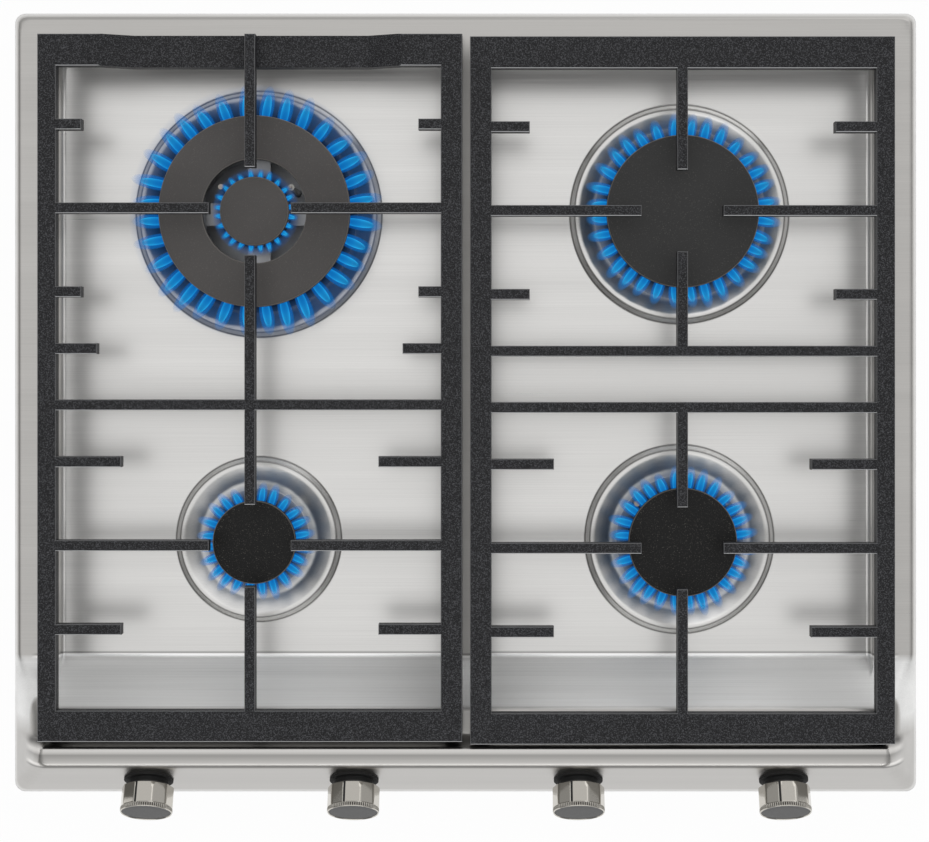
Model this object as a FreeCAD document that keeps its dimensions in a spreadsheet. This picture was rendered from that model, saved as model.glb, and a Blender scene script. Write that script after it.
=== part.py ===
import FreeCAD, Part
import math
import os
import re
import Sketcher
from types import SimpleNamespace

# Built-in gas cooktop, 60 cm wide: a pressed stainless top plate with two wells and a raised front
# housing, a steel case below it, four burners, two cast-iron grates and four push-and-turn knobs.
# Millimetres. X runs to the right, Y to the back, Z up. The origin is the middle of the plate's
# outline, on the plane of the worktop that the plate rests on.

V = FreeCAD.Vector
doc = FreeCAD.newDocument("gas_cooktop")
sheet = doc.addObject("Spreadsheet::Sheet", "sizes")

DRIVING = {
    "plate_width": 600,         # outline of the pressed top plate, left to right
    "plate_depth": 518,         # outline of the pressed top plate, front to back
    "plate_corner": 7,          # radius of the plate's corners in plan
    "gauge": 0.8,               # thickness of the stainless sheet
    "edge_angle": 61.8,         # slope of the plate's outer edge and fascia above the horizontal
    "rim_top": 6,               # top of the flat rim above the worktop
    "well_drop": 10,            # depth of a well below the rim
    "well_side": 30,            # from the plate's side to the wall of a well
    "well_back": 27,            # from the plate's back to the wall of a well
    "well_corner": 7,           # radius of a well's upright corners
    "well_fillet": 3,           # radius where a well's wall meets its floor
    "divider_mid": 2,           # middle of the strip between the wells
    "divider_width": 14,        # width of the strip between the wells
    "lip_top": 46.5,            # top of the front housing
    "lip_width": 12.5,          # flat on top of the front housing
    "lip_bend": 3.5,            # bend radius along the lip
    "riser_run": 4.7,           # how far the step behind the lip leans back
    "shelf_top": 27,            # height of the shelf that the grates' front feet stand on
    "shelf_depth": 16.5,        # depth of that shelf
    "ramp_bend": 5,             # bend radius between shelf and ramp
    "cheek_top": 32,            # height of the cheeks beside the grates
    "cheek_inset": 25,          # from the plate's side to the inner end of a cheek
    "cheek_bend": 9,            # bend radius on top of a cheek
    "boss_drop": 3,             # fall of the dish inside a burner's raised ring
    "boss_rise": 4,             # height of a burner's raised ring above the well's floor
    "boss_flank": 3,            # width of the ring's outer flank
    "dish_width": 10,           # width of the dish inside the ring
    "case_side": 25,            # from the plate's side to the steel case
    "case_end": 23,             # from the plate's front and back to the steel case
    "case_drop": 55,            # case's underside below the worktop
    "case_flange": 8,           # flange that fixes the case under the rim
    "case_front_drop": 6,       # top of the case's front wall below the worktop
    "vent_length": 46,          # cooling slot in the case's floor
    "vent_width": 4,            # width of that slot
    "vent_pitch": 14,           # distance between slots
    "vent_y": 110,              # rows of slots in front of and behind the middle
    "seal_width": 9,            # width of the foam strip under the rim
    "seal_inset": 6,            # from the plate's edge to the foam strip
    "clamp_x": 12,              # width of a hold-down clamp's foot beyond the case
    "clamp_width": 20,          # width of a hold-down clamp along the case
    "clamp_height": 24,         # height of a hold-down clamp's leg
    "clamp_gauge": 1.5,         # thickness of a hold-down clamp
    "clamp_y": 150,             # hold-down clamps in front of and behind the middle
    "clamp_z": 38,              # clamp's foot below the worktop
    "screw_shank": 1.9,         # radius of a sheet-metal screw
    "screw_long": 8,            # length of a screw's shank
    "screw_play": 0.1,          # gap round a screw in its hole
    "screw_head": 3.6,          # radius of its head
    "screw_head_high": 2.2,     # height of its head
    "left_off": 0.3,            # left burners outside their grate's middle
    "right_off": 2.5,           # right burners outside their grate's middle
    "burner_back": 133.4,       # from the plate's back to the back burners
    "burner_front": 167.8,      # from the plate's front to the front burners
    "wok_boss": 82,             # raised ring round the wok burner
    "wok_cap": 62.8,            # outer radius of the wok burner's ring cap
    "wok_eye": 34,              # hole in the ring cap
    "wok_cup": 50,              # radius of the wok burner's cup
    "wok_core": 22.6,           # radius of the wok burner's inner cap
    "rapid_boss": 73,           # raised ring round the rapid burner
    "rapid_cap": 50,            # radius of the rapid burner's cap
    "rapid_cup": 36,            # radius of its cup
    "semi_boss": 63,            # raised ring round the semi-rapid burner
    "semi_cap": 35.6,           # radius of the semi-rapid burner's cap
    "semi_cup": 26,             # radius of its cup
    "small_boss": 55,           # raised ring round the auxiliary burner
    "small_cap": 27.3,          # radius of the auxiliary burner's cap
    "small_cup": 20,            # radius of its cup
    "cup_depth": 35,            # depth of a burner cup below its flange
    "cup_wall": 3,              # wall of a burner cup
    "flange_over": 6.5,         # cup flange beyond the cap
    "flange_thick": 3,          # thickness of the cup flange
    "hole_gap": 1,              # gap between a cup and the hole in the plate
    "crown_high": 19,           # height of a flame crown above the flange
    "crown_in": 1.5,            # crown's wall inside the cap's edge
    "crown_wall": 4,            # wall of a flame crown
    "crown_floor": 4,           # floor of a flame crown
    "spigot_drop": 8,           # spigot of a crown inside its cup
    "spigot_wall": 2,           # wall of a spigot and of a cap's centring ring
    "lift_gap": 0.4,            # radial play of parts that lift off
    "port_width": 1.8,          # width of a flame port
    "port_high": 6,             # height of a flame port
    "cap_thick": 5,             # thickness of a burner cap at its edge
    "cap_crown": 0.8,           # rise of a burner cap to its middle
    "cap_edge": 1.4,            # rounding of a burner cap's edge
    "cap_ring_high": 2.6,       # depth of the ring that centres a cap
    "bridge_width": 15,         # width of the wok cup's four bridges
    "bridge_thick": 4,          # thickness of those bridges
    "bridge_clear": 1,          # gap between the bridges and the ring crown's spigot
    "plug_radius": 2.2,         # radius of a spark plug's ceramic
    "plug_out": 2.9,            # spark plug beyond the cap's edge
    "plug_low": 24,             # lower end of a spark plug below the worktop
    "plug_high": 11,            # top of the ceramic above the worktop
    "tip_radius": 0.8,          # radius of a spark tip
    "tip_high": 15.5,           # top of a spark tip above the worktop
    "wok_plug_low": 42,         # lower end of the wok burner's plug and probe
    "probe_radius": 1.8,        # radius of a flame probe
    "probe_high": 16,           # top of a flame probe above the worktop
    "core_probe_r": 28.3,       # circle of the wok burner's plug and probe
    "jet_radius": 4,            # radius of a brass injector
    "jet_high": 9,              # height of a brass injector
    "ring_jet": 32.3,           # injector of the wok burner's ring, from its middle
    "grate_side": 24.7,         # from the plate's side to a grate
    "grate_front": 41.9,        # from the plate's front to the left grate
    "grate_gap": 5,             # gap between the two grates
    "grate_mid": 1.2,           # middle of the gap between the grates
    "grate_rear": 21.6,         # from the plate's back to the left grate
    "grate_slip": 1.7,          # right grate stands this much further forward
    "grate_top": 50,            # top of the grates above the worktop
    "bar_high": 9,              # height of the grates' bars
    "rail_outer": 12,           # width of a grate's outer side rail
    "rail_inner": 13.8,         # width of a grate's inner side rail
    "rail_back": 20.5,          # width of a grate's back rail
    "rail_front": 20,           # width of a grate's front rail
    "bar_width": 6.9,           # width of bars and fingers
    "tip_reach": 26.3,          # finger tips from the middle of a burner
    "wok_tip": 30.3,            # front finger's tip from the middle of the wok burner
    "stub_pitch": 53.8,         # stub fingers in front of and behind a burner's middle
    "stub_a": 28.2,             # short stub, from the grate's edge
    "stub_b": 38.3,             # middle stub, from the grate's edge
    "stub_c": 53.8,             # long stub, from the grate's edge
    "bar_apart": 36.2,          # between the two crossbars amid the burners
    "edge_round": 0.9,          # rounding of the top edges
    "sink_depth": 9,            # drop of the left grate's back rail
    "sink_start": 39,           # from the grate's edge to the drop
    "sink_slope": 22,           # length of the sloping part
    "leg_wide": 10,             # width of a leg
    "leg_deep": 8.5,            # depth of a leg
    "leg_clear": 3,             # back foot behind the edge of the well
    "leg_in": 0.5,              # top of a back leg inside the rail's back edge
    "leg_side": 1.5,            # legs inside the grate's side edges
    "foot_high": 4,             # height of a rubber foot
    "foot_in": 1,               # rubber foot inside the leg's outline
    "knob_outer": 207.6,        # outer knobs from the middle
    "knob_inner": 73.3,         # inner knobs from the middle
    "knob_shift": 0.8,          # middle of the row of knobs
    "knob_seat": 24,            # height at which a knob's axis crosses the fascia
    "knob_radius": 16.9,        # radius of a knob
    "knob_back": 6,             # from the fascia to the metal part of a knob
    "knob_front": 22.5,         # from the fascia to a knob's face
    "knob_flat": 16.25,         # distance of the knob's flats from its axis
    "knurl_length": 2,          # length of the knurled band
    "knob_wall": 1,             # wall of the metal part
    "knob_chamfer": 0.8,        # chamfer round a knob's face
    "face_recess": 0.4,         # recess of a knob's face
    "pointer_deep": 0.7,        # depth of the pointer line
    "face_radius": 15.7,        # radius of a knob's face
    "neck_radius": 14.3,        # radius of the black neck
    "neck_back": 4.6,           # from the fascia to the neck
    "neck_wall": 1.5,           # wall of the black neck
    "neck_depth": 4,            # depth of the hollow in the neck
    "pointer_width": 1.1,       # width of the pointer line
    "pointer_turn": 18,         # pointer line beside the top of a knob
    "spindle_radius": 3,        # radius of a valve spindle
    "spindle_out": 17,          # spindle's end in front of the fascia
    "spindle_in": 29,           # spindle's end behind the fascia
    "spindle_gap": 0.05,        # running clearance of a spindle
    "spindle_end": 1,           # free depth of the bore behind a spindle that is pushed in
    "push_travel": 3,           # travel of a knob when pushed
    "seal_radius": 16,          # radius of the rubber seal behind a knob
    "sleeve_wall": 1.5,         # wall of the seal's sleeve
    "seal_thick": 1.2,          # thickness of that seal
    "sleeve_radius": 12.3,      # sleeve of the seal, inside the knob's neck
    "sleeve_high": 4.2,         # height of that sleeve
    "collar_radius": 7,         # radius of the push collar
    "collar_thick": 2,          # thickness of the push collar
    "collar_back": 3,           # push collar behind the fascia
    "valve_front": 9,           # front of a valve behind the fascia
    "valve_length": 35,         # length of a valve
    "valve_width": 22,          # width of a valve
    "tap_radius": 6,            # radius of a valve's inlet stem
    "tap_bore": 2.5,            # gas way from the rail into a valve
    "switch_wide": 14,          # width of an ignition switch
    "switch_thick": 4,          # thickness of an ignition switch
    "switch_long": 16,          # length of an ignition switch
    "switch_back": 34,          # rear end of an ignition switch behind the fascia
    "fascia_hole": 5,           # hole in the fascia for a spindle
    "rail_radius": 7,           # radius of the gas rail
    "rail_bore": 5.5,           # bore of the gas rail
    "rail_behind": 44,          # gas rail behind the plate's front
    "rail_z": -20,              # height of the gas rail
    "rail_end": 47,             # from the case's left side to the gas rail's closed end
    "inlet_side": 30,           # from the case's right side to the gas inlet
    "inlet_rear": 31,           # from the case's back to the gas inlet
    "rail_arc": 20,             # bend radius of the gas rail
    "inlet_radius": 10.48,      # radius of the inlet's half-inch thread
    "inlet_out": 20,            # thread below the case
    "inlet_collar": 13.5,       # radius of the inlet's collar inside the case
    "inlet_collar_long": 12,    # length of that collar
    "inlet_play": 0.5,          # gap between the thread and its hole
    "bracket_x": 165,           # outer rail brackets from the middle
    "bracket_wide": 16,         # foot of a rail bracket
    "bracket_deep": 26,         # depth of a rail bracket
    "bracket_gauge": 2,         # thickness of a rail bracket
    "pipe_radius": 3,           # radius of a burner's supply pipe
    "pipe_bore": 2.2,           # bore of a supply pipe
    "pipe_z": -15,              # height of the supply pipes
    "pipe_arc": 12,             # bend radius of the supply pipes
    "pipe_twin": 6,             # wok burner's two pipes, each side of its valve
    "pipe_apart": 20,           # where the wok burner's second pipe enters its cup
    "gland_side": 80,           # from the case's left side to the gland
    "gland_rear": 56,           # from the case's back to the gland
    "gland_radius": 8,          # radius of the gland
    "gland_bore": 4,            # bore of the gland
    "gland_flange": 11,         # radius of the gland's flange
    "gland_flange_thick": 2,    # thickness of that flange
    "gland_out": 12,            # gland below the case
    "gland_play": 0.1,          # gap between the gland and its hole
    "box_long": 70,             # ignition unit, left to right
    "box_deep": 46,             # ignition unit, front to back
    "box_high": 24,             # ignition unit's height
    "box_y": 14,                # middle of the ignition unit
    "terminal_long": 40,        # mains terminal block, left to right
    "terminal_deep": 22,        # terminal block, front to back
    "terminal_high": 18,        # terminal block's height
    "terminal_back": 8,         # gap behind the terminal block
}

# Places and sizes that follow from those above.
FOLLOWING = {
    "case_width": "plate_width - 2 * case_side",
    "case_depth": "plate_depth - 2 * case_end",
    "grate_width": "(plate_width - 2 * grate_side - grate_gap) / 2",
    "grate_back": "plate_depth / 2 - grate_rear",
    "grate_depth": "plate_depth - grate_rear - grate_front",
    "left_x": "grate_mid - grate_gap / 2 - grate_width / 2 - left_off",
    "right_x": "grate_mid + grate_gap / 2 + grate_width / 2 + right_off",
    "back_y": "plate_depth / 2 - burner_back",
    "front_y": "burner_front - plate_depth / 2",
    "bar_second": "(back_y + front_y + bar_apart) / 2",
    "bar_middle": "(back_y + front_y - bar_apart) / 2",
    "rail_y": "rail_behind - plate_depth / 2",
    "rail_left": "case_width / 2 - rail_end",
    "inlet_x": "case_width / 2 - inlet_side",
    "inlet_y": "case_depth / 2 - inlet_rear",
    "gland_x": "gland_side - case_width / 2",
    "gland_y": "case_depth / 2 - gland_rear",
}

for row, (alias, value) in enumerate(DRIVING.items(), start=1):
    sheet.set(f"A{row}", alias)
    sheet.set(f"B{row}", str(value))
    sheet.setAlias(f"B{row}", alias)
for row, (alias, formula) in enumerate(FOLLOWING.items(), start=1):
    sheet.set(f"D{row}", alias)
    sheet.set(f"E{row}", "=" + formula)
    sheet.setAlias(f"E{row}", alias)
doc.recompute()
values = {alias: float(sheet.get(alias)) for alias in (*DRIVING, *FOLLOWING)}
d = SimpleNamespace(**values)

sub_parts = []


def bound(formula):
    """Write a formula in the sheet's words as an expression on the sheet's cells."""
    def cell(word):
        return "sizes." + word[0] if word[0] in values else word[0]

    return re.sub(r"[a-z]\w*", cell, formula)


def drive(obj, **formulas):
    """Bind properties, and the place as x, y, z, to the sheet."""
    for name, formula in formulas.items():
        target = f"Placement.Base.{name}" if name in ("x", "y", "z") else name
        obj.setExpression(target, bound(formula))
    return obj


def add(kind, name, **formulas):
    """A Part primitive with its sizes and place bound to the sheet."""
    return drive(doc.addObject("Part::" + kind, name), **formulas)


def box(name, x, y, z, long, deep, high):
    """A box from its lowest corner."""
    return add("Box", name, x=x, y=y, z=z, Length=long, Width=deep, Height=high)


def rod(name, x, y, z, radius, high):
    """An upright cylinder on its lower end."""
    return add("Cylinder", name, x=x, y=y, z=z, Radius=radius, Height=high)


def cut(name, base, tool):
    """One solid less another."""
    obj = doc.addObject("Part::Cut", name)
    obj.Base = base
    obj.Tool = tool
    return obj


def fuse(name, *solids):
    """Several solids as one."""
    obj = doc.addObject("Part::MultiFuse", name)
    obj.Shapes = list(solids)
    obj.Refine = True
    return obj


def group(name, *solids):
    """Like pieces, kept as separate solids."""
    obj = doc.addObject("Part::Compound", name)
    obj.Links = list(solids)
    return obj


def feature(name, shape):
    """A piece whose shape is worked out here from the sheet's values."""
    obj = doc.addObject("Part::Feature", name)
    obj.Shape = shape
    return obj


def keep(obj, node):
    """Name a finished sub-part."""
    obj.Label = node
    sub_parts.append(obj)
    return obj


def outline(sketch, points):
    """Draw a closed outline in a sketch, each corner bound to the sheet by its two distances.

    The sides start along a parabola, so that no two corners are alike before they are bound.
    """
    count = len(points)
    loose = [V(index, index * index, 0) for index in range(count)]
    for index in range(count):
        sketch.addGeometry(Part.LineSegment(loose[index], loose[(index + 1) % count]), False)
    for index in range(count):
        sketch.addConstraint(Sketcher.Constraint("Coincident", index, 2, (index + 1) % count, 1))
    for index, corner in enumerate(points):
        for kind, formula in zip(("DistanceX", "DistanceY"), corner):
            number = sketch.addConstraint(Sketcher.Constraint(kind, -1, 1, index, 1, 1.0))
            sketch.setExpression(f"Constraints[{number}]", bound(formula))
    return sketch


def turned(name, points):
    """A body turned about its own Z axis from an outline of (radius, height) corners."""
    body = doc.addObject("PartDesign::Body", name)
    sketch = body.newObject("Sketcher::SketchObject", name + "_profile")
    planes = {plane.Role: plane for plane in body.Origin.OriginFeatures}
    sketch.AttachmentSupport = [(planes["XZ_Plane"], "")]
    sketch.MapMode = "FlatFace"
    outline(sketch, points)
    spin = body.newObject("PartDesign::Revolution", name + "_turned")
    spin.Profile = sketch
    spin.ReferenceAxis = (sketch, ["V_Axis"])
    spin.Angle = 360
    body.Tip = spin
    return body


# Top plate. One stainless sheet, pressed: sloped edge, flat rim, two wells, a raised ring round
# each burner, and the front housing with its shelf, lip and sloped fascia. It is drawn as the
# outer surface of a block less the same block one sheet thickness smaller.

SLOPE = math.radians(d.edge_angle)
FRONT = -d.plate_depth / 2
LIP_FRONT = FRONT + d.lip_top / math.tan(SLOPE)
LIP_BACK = LIP_FRONT + d.lip_width
SHELF_FRONT = LIP_BACK + d.riser_run
SHELF_BACK = SHELF_FRONT + d.shelf_depth
RAMP_FOOT = SHELF_BACK + d.shelf_top - d.rim_top
WELL_FLOOR = d.rim_top - d.well_drop
WELL_BACK = d.plate_depth / 2 - d.well_back
BEYOND = d.plate_depth
BELOW = -2 * d.well_drop
CHEEK_REACH = d.plate_width / 2 - d.cheek_inset


def inward(corners, distance):
    """Move each side of a closed outline of (y, z, radius) corners in by one distance."""
    count = len(corners)
    sides = []
    for index in range(count):
        y0, z0, _ = corners[index]
        y1, z1, _ = corners[(index + 1) % count]
        length = math.hypot(y1 - y0, z1 - z0)
        along = ((y1 - y0) / length, (z1 - z0) / length)
        sides.append((y0 - along[1] * distance, z0 + along[0] * distance, *along))
    moved = []
    for index in range(count):
        ya, za, ua, wa = sides[index - 1]
        yb, zb, ub, wb = sides[index]
        turn = ua * wb - wa * ub
        reach = ((yb - ya) * wb - (zb - za) * ub) / turn
        radius = corners[index][2]
        if radius:
            radius = radius - math.copysign(distance, turn)
        moved.append((ya + ua * reach, za + wa * reach, radius))
    return moved


def bent_prism(corners, x_from, x_to):
    """A prism along X whose outline of (y, z, radius) corners has its bends as arcs."""
    count = len(corners)
    ends = []
    for index, (y, z, radius) in enumerate(corners):
        corner = V(0, y, z)
        back = V(0, corners[index - 1][0], corners[index - 1][1]) - corner
        ahead = V(0, corners[(index + 1) % count][0], corners[(index + 1) % count][1]) - corner
        half = back.getAngle(ahead) / 2
        back.normalize()
        ahead.normalize()
        reach = radius / math.tan(half)
        middle = (back + ahead).normalize() * (radius / math.sin(half) - radius)
        ends.append((corner + back * reach, corner + middle, corner + ahead * reach, radius))
    edges = []
    for index, (start, middle, stop, radius) in enumerate(ends):
        if radius:
            edges.append(Part.Arc(start, middle, stop).toShape())
        edges.append(Part.LineSegment(stop, ends[(index + 1) % count][0]).toShape())
    face = Part.Face(Part.Wire(edges))
    face.translate(V(x_from, 0, 0))
    return face.extrude(V(x_to - x_from, 0, 0))


def rounded_rectangle(x0, y0, x1, y1, z, radius):
    """A level rectangle with round corners."""
    edges = []
    for quarter, (x, y) in enumerate(((x1, y1), (x0, y1), (x0, y0), (x1, y0))):
        across = math.copysign(radius, x - x0 - radius)
        back = math.copysign(radius, y - y0 - radius)
        centre = V(x - across, y - back, z)
        edges.append(Part.makeCircle(radius, centre, V(0, 0, 1), 90 * quarter, 90 * (quarter + 1)))
    joined = []
    for index, arc in enumerate(edges):
        joined.append(arc)
        after = edges[(index + 1) % 4]
        joined.append(Part.LineSegment(arc.Vertexes[-1].Point, after.Vertexes[0].Point).toShape())
    return Part.Wire(joined)


def sloped_block(inset, low, high):
    """The plate's block, its four sides leaning in at the slope of the edge."""
    levels = []
    for z in (low, high):
        lean = inset / math.sin(SLOPE) + z / math.tan(SLOPE)
        half_x = d.plate_width / 2 - lean
        half_y = d.plate_depth / 2 - lean
        levels.append(rounded_rectangle(-half_x, -half_y, half_x, half_y, z, d.plate_corner))
    return Part.makeLoft(levels, True, True)


DECK = [
    (BEYOND, BELOW, 0),
    (BEYOND, d.rim_top, 0),
    (RAMP_FOOT, d.rim_top, d.ramp_bend),
    (SHELF_BACK, d.shelf_top, d.ramp_bend),
    (SHELF_FRONT, d.shelf_top, d.lip_bend),
    (LIP_BACK, d.lip_top, d.lip_bend),
    (-BEYOND, d.lip_top, 0),
    (-BEYOND, BELOW, 0),
]
CHEEK = [
    (BEYOND, BELOW, 0),
    (BEYOND, d.rim_top, 0),
    (RAMP_FOOT + d.ramp_bend, d.rim_top, d.cheek_bend),
    (SHELF_BACK + d.riser_run, d.cheek_top, d.cheek_bend),
    (SHELF_FRONT, d.cheek_top, d.cheek_bend),
    (LIP_BACK, d.lip_top, d.lip_bend),
    (-BEYOND, d.lip_top, 0),
    (-BEYOND, BELOW, 0),
]


def deck_block(inset, low):
    """The block under the plate's surface, or under that surface set in by the gauge."""
    across = d.plate_width
    shape = bent_prism(inward(DECK, inset), -across, across)
    for side in (-1, 1):
        start = side * (CHEEK_REACH + inset)
        shape = shape.fuse(bent_prism(inward(CHEEK, inset), *sorted((start, side * across))))
    return shape.common(sloped_block(inset, low, 2 * d.lip_top))


def well_block(side, outset):
    """The hollow of one well, or that hollow grown by the gauge, up to the rim's level."""
    divider = d.divider_mid + side * d.divider_width / 2
    x0, x1 = sorted((divider - side * outset, side * (d.plate_width / 2 - d.well_side + outset)))
    floor = WELL_FLOOR - outset
    ramp = RAMP_FOOT - outset * math.sqrt(2)
    back = WELL_BACK + outset
    block = Part.makeBox(x1 - x0, back - ramp, d.rim_top - floor, V(x0, ramp, floor))
    upright = [edge for edge in block.Edges
               if edge.BoundBox.ZLength > 1 and edge.BoundBox.YMin > back - 1]
    block = block.makeFillet(d.well_corner + outset, upright)
    below_ramp = Part.makePolygon([
        V(x0, ramp, d.rim_top),
        V(x0, ramp + d.rim_top - floor, floor),
        V(x0, ramp, floor),
        V(x0, ramp, d.rim_top),
    ])
    block = block.cut(Part.Face(below_ramp).extrude(V(x1 - x0, 0, 0)))
    low = [edge for edge in block.Edges
           if edge.BoundBox.ZMax < floor + 0.01 and edge.BoundBox.YMax > ramp + d.rim_top - floor + 1]
    return block.makeFillet(d.well_fillet + outset, low)


BURNERS = {
    "wok": (d.left_x, d.back_y, d.wok_boss, d.wok_cup),
    "rapid": (d.right_x, d.back_y, d.rapid_boss, d.rapid_cup),
    "semi": (d.right_x, d.front_y, d.semi_boss, d.semi_cup),
    "small": (d.left_x, d.front_y, d.small_boss, d.small_cup),
}
SEAT = WELL_FLOOR + d.boss_rise - d.boss_drop


def raised_ring(x, y, boss, hole):
    """The sheet round one burner: flank, crest, and a dish down to the cup's seat."""
    crest = WELL_FLOOR + d.boss_rise
    upper = [(boss, WELL_FLOOR), (boss - d.boss_flank, crest), (boss - 2 * d.boss_flank, crest),
             (boss - 2 * d.boss_flank - d.dish_width, SEAT), (hole, SEAT)]
    lower = [(radius, z - d.gauge) for radius, z in reversed(upper)]
    corners = [V(radius, 0, z) for radius, z in upper + lower]
    ring = Part.Face(Part.makePolygon(corners + corners[:1])).revolve(V(), V(0, 0, 1), 360)
    ring.translate(V(x, y, 0))
    return ring


def pressed_plate():
    """The whole top plate."""
    plate = deck_block(0, 0).cut(deck_block(d.gauge, -1))
    for side in (-1, 1):
        plate = plate.fuse(well_block(side, d.gauge))
    for side in (-1, 1):
        plate = plate.cut(well_block(side, 0))
    for x, y, boss, cup in BURNERS.values():
        opening = Part.makeCylinder(boss - d.gauge, 2 * d.well_drop, V(x, y, WELL_FLOOR - d.well_drop))
        plate = plate.cut(opening).fuse(raised_ring(x, y, boss, cup + d.hole_gap))
    return plate.removeSplitter()


plate = pressed_plate()
for side in (-1, 1):
    for x in (d.knob_outer, d.knob_inner):
        axis = V(0, -math.sin(SLOPE), math.cos(SLOPE))
        seat = V(d.knob_shift + side * x, FRONT + d.knob_seat / math.tan(SLOPE), d.knob_seat)
        plate = plate.cut(Part.makeCylinder(d.fascia_hole, 4 * d.gauge, seat - axis * 2 * d.gauge, axis))


# Burners. Each is a cast aluminium cup hung in a hole of the plate, a flame crown with ports that
# drops into the cup, and an enamelled cap on the crown. The brass injector stands in the cup, and
# the spark plug and the flame probe pass through the cup's flange beside the cap.

FLOOR = "(rim_top - well_drop)"
CUP_SEAT = f"({FLOOR} + boss_rise - boss_drop)"
CUP_TOP = f"({CUP_SEAT} + flange_thick)"
CUP_LOW = f"({CUP_SEAT} - cup_depth)"
CROWN_TOP = f"({CUP_TOP} + crown_high)"
CAP_EDGE = f"({CROWN_TOP} + cap_thick)"
SINGLE = {"rapid": ("right_x", "back_y"), "semi": ("right_x", "front_y"), "small": ("left_x", "front_y")}
PORTS = {"wok_ring": 32, "wok_core": 24, "rapid": 32, "semi": 28, "small": 24}
PLUG_TURN = 40
PROBE_TURN = 140
WOK_PLUG_TURN = 36
WOK_PROBE_TURN = 144
RING_JET_TURN = -90


def around(count, turn=0):
    """Directions evenly round a circle, in degrees."""
    return [turn + 360 * index / count for index in range(count)]


def on_circle(x, y, radius, turn):
    """Formulas of a point on a circle."""
    across, back = math.cos(math.radians(turn)), math.sin(math.radians(turn))
    return f"{x} + ({radius}) * {across:.6f}", f"{y} + ({radius}) * {back:.6f}"


def ports(name, x, y, wall_in, wall_out, top, tall="port_high"):
    """The slots through a crown's wall, as one tool."""
    slots = []
    for index, turn in enumerate(around(PORTS[name], 180 / PORTS[name])):
        slot = box(f"{name}_port_{index}", "0", "0", "0", f"{wall_out} - ({wall_in}) + 2", "port_width", tall)
        slot.Placement.Rotation = FreeCAD.Rotation(V(0, 0, 1), turn)
        radius = f"({wall_in} - 1)"
        c, k = math.cos(math.radians(turn)), math.sin(math.radians(turn))
        drive(slot, x=f"{x} + {radius} * {c:.6f} + port_width / 2 * {k:.6f}",
              y=f"{y} + {radius} * {k:.6f} - port_width / 2 * {c:.6f}", z=f"{top} - {tall}")
        slots.append(slot)
    return fuse(name + "_ports", *slots)


def place(obj, x, y):
    """Stand a turned body on a burner's axis."""
    return drive(obj, x=x, y=y)


def side_holes(name, base, pairs, low, high, radius):
    """Drill a piece for the plug and the probe beside it."""
    drills = [rod(f"{name}_drill_{index}", x, y, low, radius, f"{high} - ({low})")
              for index, (x, y) in enumerate(pairs)]
    return cut(name, base, fuse(name + "_drills", *drills))


plugs, tips, probes, jets = [], [], [], []


def ignition(name, plug_at, probe_at, low="plug_low"):
    """The spark plug, its tip, and the flame probe of one burner."""
    plugs.append(rod(name + "_plug", *plug_at, f"-{low}", "plug_radius", f"{low} + plug_high"))
    tips.append(rod(name + "_tip", *plug_at, "plug_high", "tip_radius", "tip_high - plug_high"))
    probes.append(rod(name + "_probe", *probe_at, f"-{low}", "probe_radius", f"{low} + probe_high"))


def drill_plate(x, y, radius):
    """A hole through the plate beside a burner."""
    return Part.makeCylinder(radius, 2 * d.well_drop, V(x, y, SEAT - d.well_drop))


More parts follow.
